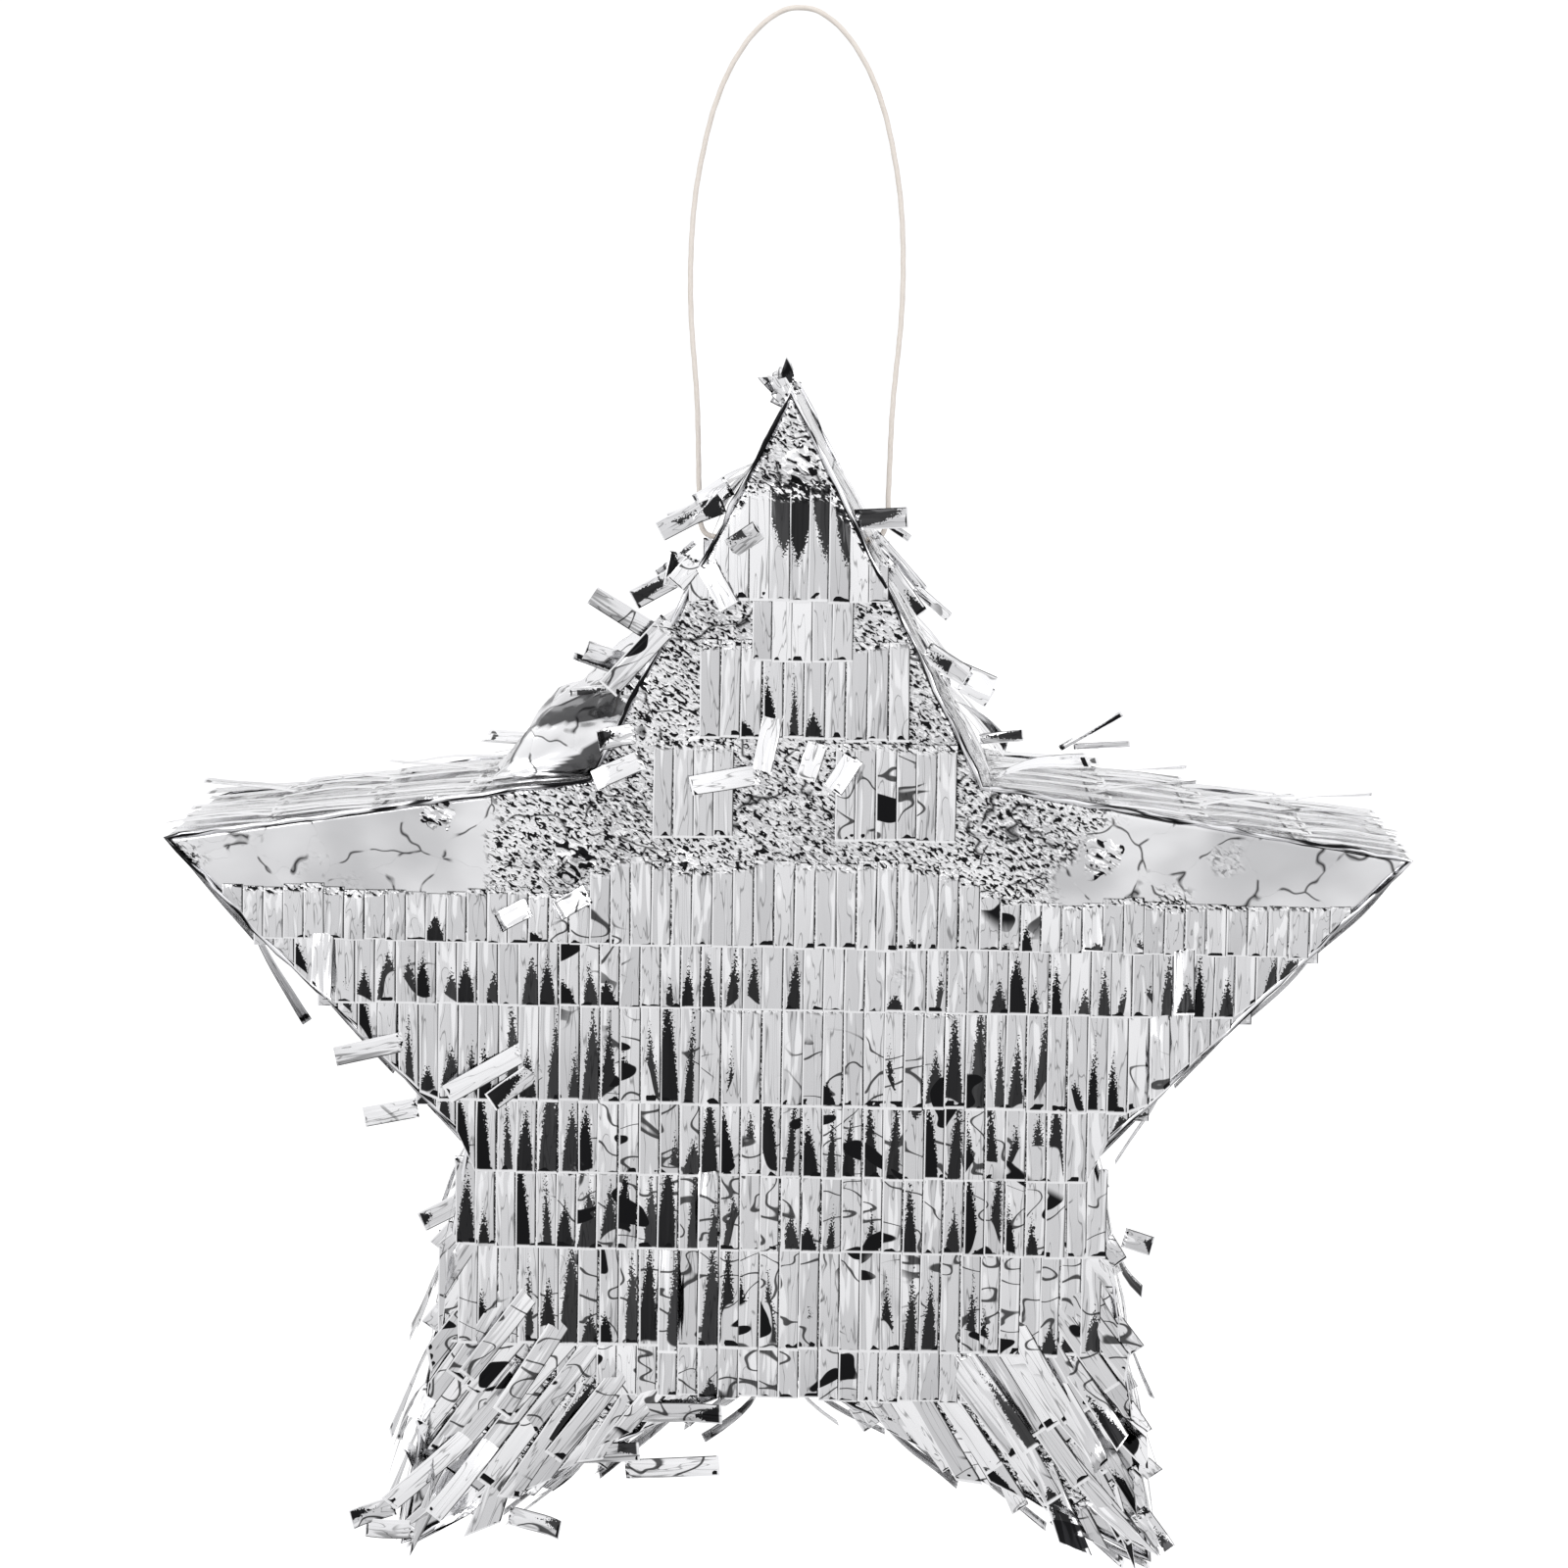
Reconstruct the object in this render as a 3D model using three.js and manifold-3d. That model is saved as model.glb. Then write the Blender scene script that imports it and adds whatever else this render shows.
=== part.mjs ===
// A foil-fringed star pinata hung by a cord loop. Millimetres, +Z up, and the star's front faces -Y.
// The origin is the hook's point, on the inside of the loop's crown, so the whole pinata lies below it.
import * as THREE from "three";
import { mergeVertices } from "three/addons/utils/BufferGeometryUtils.js";
import Module from "manifold-3d";

const wasm = await Module();
wasm.setup();

// ---- driving dimensions ----
const armCount = 5;
const tipRadius = 172; // star centre to the cardboard's tips
const cornerRadius = 87.3; // star centre to the inner corners between the arms
const boxDepth = 72; // over the front and back panels
const panelThickness = 3; // corrugated board
const wallThickness = 2; // scored card strip folded over each arm
const gap = 0.3; // left between pieces that touch
const wallSeam = 0.4; // half of the joint between two wall strips, along the wall

const tapeThickness = 0.4; // paper tape over the corner joints, on the inside
const tapeLeg = 8; // length of tape on each side of a joint
const tapeMargin = 4; // from the tape's ends to the panels

const foilThickness = 0.3;
const foilRim = 8; // how far the front and back foils fold over onto the walls

const cordDiameter = 1.5;
const cordHoleClearance = 0.9; // hole radius over cord radius
const loopEntryHalfWidth = 19.74; // half the top arm's width at the cord holes, which the loop's route fits
const patchSize = 13; // paper patch that reinforces a cord hole
const knotRadius = 3.4;

const windowBelowHole = 18.3; // fill window in the top arm's left wall, measured down the wall
const windowLength = 41;
const windowSideBorder = 13; // from the window to the front and back of the box
const flapClearance = 0.5; // around the three cut edges of the flap
const flapFoilStart = 1.5; // keeps the flap's foil clear of the fold when the flap is up
const flapFringeStart = 4.5;
const windowFoilMargin = 1; // the side foil is cut back this far round the window

const fringeThickness = 0.8; // a heading of stacked, glued foil
const fringeLift = 1.5; // how far the free ends stand off, over the next heading
const fringeLap = 3; // how far the free ends reach over the next heading
const sideFringePitch = 24; // between two rows on the side faces
const sideFringeMargin = 3; // bare strip at both ends of a side face
const cordBareLength = 6; // bare stretch under a cord hole, where the loop swings
const flapBareLength = 2.5; // bare stretch above the flap's fold

const bareTip = 22; // bare foil at the top tip
const bareBandTop = 13.2; // the upper rows end this far under the line of the upper corners
const bareBandBottom = 20.6; // the body rows start this far under that line
const archDrop = 7.2; // the last body row hangs this far below the bottom corner
const archHalfWidth = 60;
// where the rows start and end, as shares of their zone's height
const armRows = [
  [0, 0.322],
  [0.443, 0.713],
  [0.734, 1],
];
const bodyRowEnds = [0.152, 0.269, 0.45, 0.584, 0.727, 0.914, 1];
const legRowLength = 34;
const legRowStep = 31;
const footMargin = 2;

// The loop's right half, as (x, height over the hole axis): straight out of the wall, a bend, up and over.
const loopRoute = [
  [3.7, 0],
  [12, 0],
  [20, 0],
  [23.6, 0.9],
  [25.3, 4.4],
  [25.7, 14],
  [26.4, 36],
  [28.3, 60],
  [28.5, 75],
  [27.6, 90],
  [25.7, 102],
  [22.5, 115],
  [17.9, 126],
  [11.6, 135],
  [5, 140],
  [0, 141],
];
const loopSteps = 80;
const cordSides = 8;

// ---- values worked out from them ----
const halfStep = Math.PI / armCount;
const halfDepth = boxDepth / 2;
const wallHalfWidth = halfDepth - panelThickness - gap;
const sideLength = Math.hypot(
  cornerRadius * Math.sin(halfStep),
  tipRadius - cornerRadius * Math.cos(halfStep),
);
const foilTop = gap + foilThickness; // outer face of a foil, over the cardboard
const fringeBase = foilTop + gap;
const cornerLine = cornerRadius * Math.cos(halfStep);
const armSlope = (tipRadius - cornerLine) / (cornerRadius * Math.sin(halfStep)); // height over half width
const holeBelowTip = loopEntryHalfWidth * armSlope;
const holeHeight = tipRadius - holeBelowTip;
const holeRadius = cordDiameter / 2 + cordHoleClearance;
const holeDistance = holeBelowTip * (sideLength / (tipRadius - cornerLine)); // down the wall
const crownHeight = loopRoute.at(-1)[1];
const hookToHole = crownHeight - cordDiameter / 2;
const windowStart = holeDistance + windowBelowHole;
const windowEnd = windowStart + windowLength;
const windowWidth = boxDepth - 2 * windowSideBorder;

// ---- materials ----
const looks = {
  board: { color: 0xb08a5c, roughness: 0.9, metalness: 0 },
  card: { color: 0xc2a078, roughness: 0.85, metalness: 0 },
  tape: { color: 0xd9c7a0, roughness: 0.6, metalness: 0 },
  foil: { color: 0xdcdde0, roughness: 0.18, metalness: 1 },
  fringe: { color: 0xc9cbd0, roughness: 0.15, metalness: 1 },
  cord: { color: 0xf3efe6, roughness: 0.8, metalness: 0 },
};

function piece(name, look, geometry) {
  const mesh = new THREE.Mesh(geometry, new THREE.MeshStandardMaterial(looks[look]));
  mesh.name = name;
  return mesh;
}

// ---- solid tools ----
function solidOf(geometry) {
  const bare = geometry.clone();
  bare.deleteAttribute("normal");
  bare.deleteAttribute("uv");
  const merged = mergeVertices(bare, 1e-4);
  return new wasm.Manifold(
    new wasm.Mesh({
      numProp: 3,
      vertProperties: new Float32Array(merged.attributes.position.array),
      triVerts: new Uint32Array(merged.index.array),
    }),
  );
}

function geometryOf(solid) {
  const mesh = solid.getMesh();
  const geometry = new THREE.BufferGeometry();
  geometry.setAttribute("position", new THREE.BufferAttribute(mesh.vertProperties, 3));
  geometry.setIndex(new THREE.BufferAttribute(mesh.triVerts, 1));
  const faceted = geometry.toNonIndexed();
  faceted.computeVertexNormals();
  return faceted;
}

// An outline in the star's plane, made solid between two depths.
function plate(points, yFront, yBack) {
  const shape = new THREE.Shape(points);
  const geometry = new THREE.ExtrudeGeometry(shape, { depth: yBack - yFront, bevelEnabled: false });
  return geometry.rotateX(Math.PI / 2).translate(0, yBack, 0);
}

// ---- the star's outline ----
// Its ten points with every side moved out by an offset, clockwise from the top tip: tip, corner, tip, ...
function starOutline(offset) {
  const tip = tipRadius + (offset * sideLength) / (cornerRadius * Math.sin(halfStep));
  const corner = cornerRadius + (offset * sideLength) / (tipRadius * Math.sin(halfStep));
  return Array.from({ length: armCount * 2 }, (_, i) => {
    const radius = i % 2 ? corner : tip;
    return new THREE.Vector2(radius * Math.sin(i * halfStep), radius * Math.cos(i * halfStep));
  });
}

function stepTowards(from, to, distance) {
  return from.clone().addScaledVector(to.clone().sub(from).normalize(), distance);
}

// One of the ten side faces, counted clockwise from the top arm's right one.
// at(s, t) is the point s down the face from its upper end and t out of it.
function sideFace(index) {
  const outline = starOutline(0);
  const ends = [outline[index], outline[(index + 1) % outline.length]];
  ends.sort((a, b) => b.y - a.y);
  const along = ends[1].clone().sub(ends[0]).normalize();
  const out = new THREE.Vector2(along.y, -along.x);
  if (out.dot(ends[0]) < 0) out.negate();
  return {
    at: (s, t) => ends[0].clone().addScaledVector(along, s).addScaledVector(out, t),
  };
}

// A flat piece on a side face, between two places down the face and two heights out of it.
function onSideFace(index, [s0, s1], [t0, t1], halfWidth) {
  const face = sideFace(index);
  const corners = [face.at(s0, t0), face.at(s1, t0), face.at(s1, t1), face.at(s0, t1)];
  return plate(corners, -halfWidth, halfWidth);
}

const topRightFace = 0;
const topLeftFace = 9;

// A bar along X on the cord holes' axis.
function cordHoleCutter(radius) {
  const bar = new THREE.CylinderGeometry(radius, radius, 2 * tipRadius, 24);
  return solidOf(bar.rotateZ(Math.PI / 2).translate(0, 0, holeHeight));
}

// A block through the top arm's left side, as large as the fill window and a margin round it.
function windowCutter(margin) {
  const reach = wallThickness + fringeLift + 5;
  const span = [windowStart - margin, windowEnd + margin];
  return solidOf(onSideFace(topLeftFace, span, [-reach, reach], windowWidth / 2 + margin));
}

// ---- cardboard ----
function panel(name, yFront) {
  return piece(name, "board", plate(starOutline(0), yFront, yFront + panelThickness));
}

// A card strip folded over one arm's tip, made with the arm pointing up.
function wallStripGeometry() {
  const [tip, corner] = starOutline(0);
  const [tipInside, cornerInside] = starOutline(-wallThickness);
  const end = stepTowards(corner, tip, wallSeam);
  const endInside = stepTowards(cornerInside, tipInside, wallSeam);
  const mirrored = (p) => new THREE.Vector2(-p.x, p.y);
  const outline = [tip, end, endInside, tipInside, mirrored(endInside), mirrored(end)];
  return plate(outline, -wallHalfWidth, wallHalfWidth);
}

function wallStrip(name, arm) {
  let geometry = wallStripGeometry();
  if (arm === 0) {
    const cut = solidOf(geometry).subtract(cordHoleCutter(holeRadius)).subtract(windowCutter(0));
    geometry = geometryOf(cut);
  }
  const strip = piece(name, "card", geometry);
  strip.rotation.y = arm * 2 * halfStep;
  return strip;
}

// Paper tape folded over the joint between two wall strips, on the inside.
function cornerTape(name, arm) {
  const near = starOutline(-(wallThickness + gap));
  const far = starOutline(-(wallThickness + gap + tapeThickness));
  const [tip, corner, nextTip] = near;
  const [tipFar, cornerFar, nextTipFar] = far;
  const outline = [
    stepTowards(corner, tip, tapeLeg),
    corner,
    stepTowards(corner, nextTip, tapeLeg),
    stepTowards(cornerFar, nextTipFar, tapeLeg),
    cornerFar,
    stepTowards(cornerFar, tipFar, tapeLeg),
  ];
  const halfWidth = wallHalfWidth - tapeMargin;
  const tape = piece(name, "tape", plate(outline, -halfWidth, halfWidth));
  tape.rotation.y = arm * 2 * halfStep;
  return tape;
}

// Paper patch inside the top arm, round a cord hole.
function holePatch(name, face) {
  const span = [holeDistance - patchSize / 2, holeDistance + patchSize / 2];
  const inside = -(wallThickness + gap);
  const flat = onSideFace(face, span, [inside - tapeThickness, inside], patchSize / 2);
  return piece(name, "tape", geometryOf(solidOf(flat).subtract(cordHoleCutter(holeRadius))));
}

// ---- fill flap ----
function flapPieces() {
  const halfWidth = windowWidth / 2 - flapClearance;
  const span = [windowStart + flapClearance, windowEnd - flapClearance];
  const board = onSideFace(topLeftFace, span, [-wallThickness, 0], halfWidth);
  const foilSpan = [windowStart + flapFoilStart, span[1]];
  const foil = onSideFace(topLeftFace, foilSpan, [gap, foilTop], halfWidth);
  const fringe = sideFringeGeometry(topLeftFace, windowStart + flapFringeStart, span[1], halfWidth);
  return [
    piece("fill_flap", "card", board),
    piece("flap_foil", "foil", foil),
    piece("flap_fringe", "fringe", fringe),
  ];
}

// ---- foil skins ----
// A star-shaped foil with its edge folded back over the walls, made for the front.
function foilTrayGeometry() {
  const face = -halfDepth;
  const rimEnd = face + foilRim;
  const outside = solidOf(plate(starOutline(foilTop), face - foilTop, rimEnd));
  const inside = solidOf(plate(starOutline(gap), face - gap, rimEnd + foilThickness));
  return geometryOf(outside.subtract(inside));
}

function foilTray(name, turn) {
  const tray = piece(name, "foil", foilTrayGeometry());
  tray.rotation.z = turn;
  return tray;
}

// One foil round all ten side faces, between the two rims, cut for the cord and the fill window.
function sideFoil() {
  const halfWidth = halfDepth - foilRim - gap;
  const outside = solidOf(plate(starOutline(foilTop), -halfWidth, halfWidth));
  const inside = solidOf(plate(starOutline(gap), -halfWidth - 1, halfWidth + 1));
  const ring = outside.subtract(inside);
  const holed = ring.subtract(cordHoleCutter(holeRadius + gap)).subtract(windowCutter(windowFoilMargin));
  return piece("side_foil", "foil", geometryOf(holed));
}

// ---- fringe ----
// Leans a flat row outwards from its heading (start) to its free ends (end), measured along a direction.
function leanOut(geometry, direction, start, end) {
  const position = geometry.attributes.position;
  for (let i = 0; i < position.count; i++) {
    const travelled = position.getX(i) * direction.x + position.getZ(i) * direction.y - start;
    const lift = (fringeLift * travelled) / (end - start);
    position.setY(i, position.getY(i) - lift);
  }
  geometry.computeVertexNormals();
  return geometry;
}

// A box over the star's plane between two distances along a direction, and a half width across it.
function bandCutter(direction, start, end, halfWidth) {
  const depth = 4 * fringeThickness;
  const box = new THREE.BoxGeometry(2 * halfWidth, depth, end - start);
  const angle = Math.atan2(direction.x, direction.y);
  return solidOf(box.translate(0, 0, (start + end) / 2).rotateY(angle));
}

// A row of tassels on the front face: a band of the star, between its heading and its free ends.
function rowGeometry({ direction, start, end, halfWidth, overhangs, below }) {
  let row = bandCutter(direction, start, end, halfWidth);
  row = row.intersect(solidOf(plate(starOutline(tipRadius), -fringeThickness, 0)));
  if (!overhangs) row = row.intersect(solidOf(plate(starOutline(0), -fringeThickness, 0)));
  if (below !== undefined) {
    const reach = 2 * tipRadius;
    const lower = new THREE.BoxGeometry(reach, reach, reach).translate(0, 0, below - reach / 2);
    row = row.intersect(solidOf(lower));
  }
  const leaned = leanOut(geometryOf(row), direction, start, end);
  return leaned.translate(0, -(halfDepth + fringeBase), 0);
}

const down = new THREE.Vector2(0, -1);

// Heights are turned into distances down from the star's centre.
function bodyRows() {
  const armTop = tipRadius - bareTip;
  const armHeight = armTop - (cornerLine - bareBandTop);
  const bodyTop = cornerLine - bareBandBottom;
  const bodyHeight = bodyTop + cornerRadius + archDrop;
  const upper = armRows.map(([from, to]) => ({
    start: -armTop + from * armHeight,
    end: -armTop + to * armHeight,
    halfWidth: cornerRadius * Math.sin(halfStep),
  }));
  const lower = bodyRowEnds.map((share, i) => ({
    start: -bodyTop + (i ? bodyRowEnds[i - 1] * bodyHeight - fringeLap : 0),
    end: -bodyTop + share * bodyHeight,
  }));
  const rows = [...upper, ...lower].map((row) => ({ direction: down, halfWidth: tipRadius, ...row }));
  Object.assign(rows.at(-1), { halfWidth: archHalfWidth, overhangs: true });
  return rows;
}

// Two rows across a leg, with their free ends towards the foot.
function legRows(side) {
  const angle = 4 * halfStep;
  const direction = new THREE.Vector2(side * Math.sin(angle), Math.cos(angle));
  const below = -(cornerRadius + archDrop + fringeLap);
  return [1, 0].map((stepsUp) => {
    const end = tipRadius - footMargin - stepsUp * legRowStep;
    return { direction, start: end - legRowLength, end, halfWidth: cornerRadius, below };
  });
}

// All the rows of the front or the back face: the back is the front turned half round.
function faceFringe(face, turn) {
  const rows = bodyRows().map((row, i) => [`${face}_fringe_${String(i + 1).padStart(2, "0")}`, row]);
  for (const [leg, side] of [["left", -1], ["right", 1]]) {
    // seen from the back, the left leg is on the right
    const shownSide = turn ? -side : side;
    legRows(shownSide).forEach((row, i) => rows.push([`${face}_${leg}_leg_fringe_${i + 1}`, row]));
  }
  return rows.map(([name, row]) => {
    const mesh = piece(name, "fringe", rowGeometry(row));
    mesh.rotation.z = turn;
    return mesh;
  });
}

// Overlapping rows down a side face, as one saw-toothed strip.
function sideFringeGeometry(index, start, end, halfWidth) {
  const face = sideFace(index);
  const count = Math.max(1, Math.round((end - start) / sideFringePitch));
  const pitch = (end - start) / count;
  const low = fringeBase + fringeThickness;
  const high = low + fringeLift;
  const outline = [face.at(start, fringeBase)];
  for (let row = 0; row < count; row++) {
    outline.push(face.at(start + row * pitch, low));
    outline.push(face.at(start + (row + 1) * pitch, high));
  }
  outline.push(face.at(end, fringeBase));
  return plate(outline, -halfWidth, halfWidth);
}

const sideFaceNames = [
  "top_arm_right",
  "right_arm_top",
  "right_arm_under",
  "right_leg_outer",
  "right_leg_inner",
  "left_leg_inner",
  "left_leg_outer",
  "left_arm_under",
  "left_arm_top",
  "top_arm_left",
];

function sideFringes() {
  const underHole = holeDistance + cordBareLength;
  return sideFaceNames.map((name, index) => {
    const start = index === topRightFace || index === topLeftFace ? underHole : sideFringeMargin;
    const end = index === topLeftFace ? windowStart - flapBareLength : sideLength - sideFringeMargin;
    const geometry = sideFringeGeometry(index, start, end, halfDepth - gap);
    return piece(`${name}_fringe`, "fringe", geometry);
  });
}

// ---- cord ----
function loopCord() {
  const right = loopRoute.map(([x, height]) => new THREE.Vector3(x, 0, height));
  const left = loopRoute.slice(0, -1).map(([x, height]) => new THREE.Vector3(-x, 0, height));
  const path = new THREE.CatmullRomCurve3([...right, ...left.reverse()]);
  const section = new THREE.Shape();
  for (let i = 0; i < cordSides; i++) {
    const angle = (i * 2 * Math.PI) / cordSides;
    const corner = new THREE.Vector2(Math.cos(angle), Math.sin(angle)).multiplyScalar(cordDiameter / 2);
    if (i) section.lineTo(corner.x, corner.y);
    else section.moveTo(corner.x, corner.y);
  }
  const options = { extrudePath: path, steps: loopSteps, bevelEnabled: false };
  return piece("hanging_loop", "cord", new THREE.ExtrudeGeometry(section, options));
}

// The overhand knot that joins the loop's ends, in the middle of the arm.
function loopKnot() {
  const knot = new THREE.SphereGeometry(knotRadius, 14, 10).scale(1, 0.9, 0.9);
  return piece("loop_knot", "cord", knot);
}

// ---- assembly ----
const loop = new THREE.Group();
loop.add(loopCord(), loopKnot());
loop.position.z = -hookToHole;

const armNames = ["top_arm", "right_arm", "right_leg", "left_leg", "left_arm"];
const cornerNames = ["upper_right", "lower_right", "bottom", "lower_left", "upper_left"];

const star = new THREE.Group();
star.add(panel("front_panel", -halfDepth), panel("back_panel", halfDepth - panelThickness));
armNames.forEach((name, arm) => star.add(wallStrip(`${name}_wall`, arm)));
cornerNames.forEach((name, arm) => star.add(cornerTape(`${name}_corner_tape`, arm)));
star.add(holePatch("right_hole_patch", topRightFace), holePatch("left_hole_patch", topLeftFace));
star.add(...flapPieces());
star.add(foilTray("front_foil", 0), foilTray("back_foil", Math.PI), sideFoil());
star.add(...faceFringe("front", 0), ...faceFringe("back", Math.PI), ...sideFringes());
star.position.z = -(hookToHole + holeHeight);

const pinata = new THREE.Group();
pinata.add(loop, star);

export default pinata;
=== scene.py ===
"""A foil star pinata on a cord loop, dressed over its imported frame. Lengths are in metres."""

import logging
import math
import random
from dataclasses import dataclass, field, replace
from enum import Enum

import bmesh
import bpy
from mathutils import Matrix, Vector, noise


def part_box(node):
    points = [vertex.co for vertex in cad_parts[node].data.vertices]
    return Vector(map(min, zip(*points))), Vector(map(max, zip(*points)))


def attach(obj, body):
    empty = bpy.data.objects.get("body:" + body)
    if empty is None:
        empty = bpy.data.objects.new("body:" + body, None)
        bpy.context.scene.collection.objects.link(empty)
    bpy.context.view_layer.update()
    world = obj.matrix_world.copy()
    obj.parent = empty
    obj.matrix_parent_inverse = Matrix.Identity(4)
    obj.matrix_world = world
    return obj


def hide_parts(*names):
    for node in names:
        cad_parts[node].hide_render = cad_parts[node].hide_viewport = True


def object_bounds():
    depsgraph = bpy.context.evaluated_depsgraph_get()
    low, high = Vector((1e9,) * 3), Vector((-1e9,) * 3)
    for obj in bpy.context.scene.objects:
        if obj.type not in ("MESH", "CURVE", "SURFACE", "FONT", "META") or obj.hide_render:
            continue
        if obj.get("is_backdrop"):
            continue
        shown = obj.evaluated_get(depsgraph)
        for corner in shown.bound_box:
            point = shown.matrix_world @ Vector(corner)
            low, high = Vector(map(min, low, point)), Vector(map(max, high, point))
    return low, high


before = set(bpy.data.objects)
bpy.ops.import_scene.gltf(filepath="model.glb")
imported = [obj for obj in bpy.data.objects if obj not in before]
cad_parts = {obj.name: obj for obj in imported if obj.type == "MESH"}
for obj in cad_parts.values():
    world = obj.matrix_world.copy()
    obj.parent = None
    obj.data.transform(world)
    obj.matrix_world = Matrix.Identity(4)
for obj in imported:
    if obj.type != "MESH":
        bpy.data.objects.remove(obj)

MM = 0.001
LOG = logging.getLogger("pinata")
TASSEL_MAP = "tassel_map"
CORD_MAP = "cord_map"
# The vertex mark of painted reflections: above 0, how far a painted dark reflection reaches; below 0, painted
# white, mostly as a painted bright reflection.
PAINTED_REFLECTION_MARK = "mood"
WORN_MARK = "worn"


# ---------------------------------------------------------------- shader tools


class Socket(Enum):
    """The kinds of socket that the effect groups use."""

    NUMBER = "NodeSocketFloat"
    COLOUR = "NodeSocketColor"
    DIRECTION = "NodeSocketVector"


class Value:
    """A node's output; arithmetic on it adds Math nodes to the same tree."""

    def __init__(self, nodes: "NodeTree", socket: bpy.types.NodeSocket) -> None:
        """Keeps the output and its tree."""
        self.nodes, self.socket = nodes, socket

    def __add__(self, other: object) -> "Value":
        """Adds a number or an output."""
        return self.nodes.math("ADD", self, other)

    def __sub__(self, other: object) -> "Value":
        """Takes a number or an output away."""
        return self.nodes.math("SUBTRACT", self, other)

    def __rsub__(self, other: object) -> "Value":
        """Takes this away from a number."""
        return self.nodes.math("SUBTRACT", other, self)

    def __mul__(self, other: object) -> "Value":
        """Multiplies by a number or an output."""
        return self.nodes.math("MULTIPLY", self, other)

    def __truediv__(self, other: object) -> "Value":
        """Divides by a number or an output."""
        return self.nodes.math("DIVIDE", self, other)

    def __rtruediv__(self, other: object) -> "Value":
        """Divides a number by this."""
        return self.nodes.math("DIVIDE", other, self)

    def __abs__(self) -> "Value":
        """Drops the sign."""
        return self.nodes.math("ABSOLUTE", self)

    def most(self, other: object) -> "Value":
        """Takes the greater of two."""
        return self.nodes.math("MAXIMUM", self, other)

    def clamped(self) -> "Value":
        """Keeps it between 0 and 1."""
        return self.nodes.math("ADD", self, 0.0, clamp=True)

    def remap(self, low: float, high: float, to_low: float = 0.0, to_high: float = 1.0) -> "Value":
        """Turns the range from low to high into the one from to_low to to_high, smoothly and clamped."""
        node = self.nodes.add("ShaderNodeMapRange", interpolation_type="SMOOTHSTEP")
        return self.nodes.fed(node, self, low, high, to_low, to_high)


class NodeTree:
    """A thin wrapper that adds and joins nodes in one node tree."""

    def __init__(self, tree: bpy.types.NodeTree) -> None:
        """Wraps a material's or a group's own tree."""
        self.tree = tree

    def add(self, kind: str, **settings: object) -> bpy.types.Node:
        """Adds a node and sets its properties.

        Args:
            kind: the node's type name.
            **settings: the properties to set on it.

        Returns:
            The new node.
        """
        node = self.tree.nodes.new(kind)
        for name, value in settings.items():
            setattr(node, name, value)
        return node

    def feed(self, target: bpy.types.NodeSocket, value: object) -> None:
        """Gives an input a number, a colour or another node's output.

        Args:
            target: the input.
            value: the Value to join, or what to set.
        """
        if isinstance(value, Value):
            self.tree.links.new(value.socket, target)
        else:
            target.default_value = value

    def fill(self, node: bpy.types.Node, **values: object) -> None:
        """Feeds a node's inputs by name, with _ for a space."""
        for label, value in values.items():
            self.feed(node.inputs[label.replace("_", " ")], value)

    def out(self, node: bpy.types.Node, output: int | str = 0) -> Value:
        """Returns one of a node's outputs."""
        return Value(self, node.outputs[output])

    def fed(self, node: bpy.types.Node, *values: object, output: int | str = 0) -> Value:
        """Feeds a node's first inputs in order.

        Args:
            node: the node.
            *values: what its inputs get.
            output: which output is wanted.

        Returns:
            That output.
        """
        for target, value in zip(node.inputs, values):
            self.feed(target, value)
        return self.out(node, output)

    def math(self, operation: str, *values: object, clamp: bool = False) -> Value:
        """Adds a Math node."""
        return self.fed(self.add("ShaderNodeMath", operation=operation, use_clamp=clamp), *values)

    def vector_math(self, operation: str, *values: object, output: int | str = 0) -> Value:
        """Adds a Vector Math node."""
        return self.fed(self.add("ShaderNodeVectorMath", operation=operation), *values, output=output)

    def scaled(self, vector: object, factor: object) -> Value:
        """Scales a vector.

        Args:
            vector: the vector.
            factor: the number or output to scale by.

        Returns:
            The scaled vector.
        """
        node = self.add("ShaderNodeVectorMath", operation="SCALE")
        self.feed(node.inputs["Scale"], factor)
        return self.fed(node, vector)

    def noise(
        self, vector: object, scale: object, detail: float = 2.0, distortion: float = 0.0, output: str = "Fac"
    ) -> Value:
        """Adds a noise texture.

        Args:
            vector: where it is read.
            scale: how many features to a unit.
            detail: its octaves.
            distortion: how far its coordinates are stirred.
            output: which output is wanted.

        Returns:
            That output.
        """
        node = self.add("ShaderNodeTexNoise")
        self.fill(node, Vector=vector, Scale=scale, Detail=detail, Distortion=distortion)
        return self.out(node, output)

    def voronoi(self, vector: object, scale: object, feature: str = "F1") -> bpy.types.Node:
        """Adds a Voronoi texture.

        Args:
            vector: where it is read.
            scale: how many cells to a unit.
            feature: which of its distances it gives.

        Returns:
            The node.
        """
        node = self.add("ShaderNodeTexVoronoi", feature=feature)
        self.fill(node, Vector=vector, Scale=scale)
        return node

    def layered(self, base: object, *coats: tuple[object, object]) -> Value:
        """Paints coats over a colour, in order.

        Args:
            base: the colour underneath.
            *coats: for each coat, its mask and its colour.

        Returns:
            The painted colour.
        """
        for mask, colour in coats:
            node = self.add("ShaderNodeMix", data_type="RGBA")
            for number, value in ((0, mask), (6, base), (7, colour)):
                self.feed(node.inputs[number], value)
            base = self.out(node, 2)
        return base

    def separate(self, vector: Value) -> list[Value]:
        """Splits a vector into its three parts."""
        node = self.fed(self.add("ShaderNodeSeparateXYZ"), vector).socket.node
        return [self.out(node, i) for i in range(3)]

    def combine(self, *parts: object) -> Value:
        """Joins numbers into a vector."""
        return self.fed(self.add("ShaderNodeCombineXYZ"), *parts)

    def attribute(self, name: str) -> Value:
        """Reads a number stored on the mesh."""
        return self.out(self.add("ShaderNodeAttribute", attribute_name=name), "Fac")

    def uv(self, name: str) -> Value:
        """Reads a UV map."""
        return self.out(self.add("ShaderNodeUVMap", uv_map=name))

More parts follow.
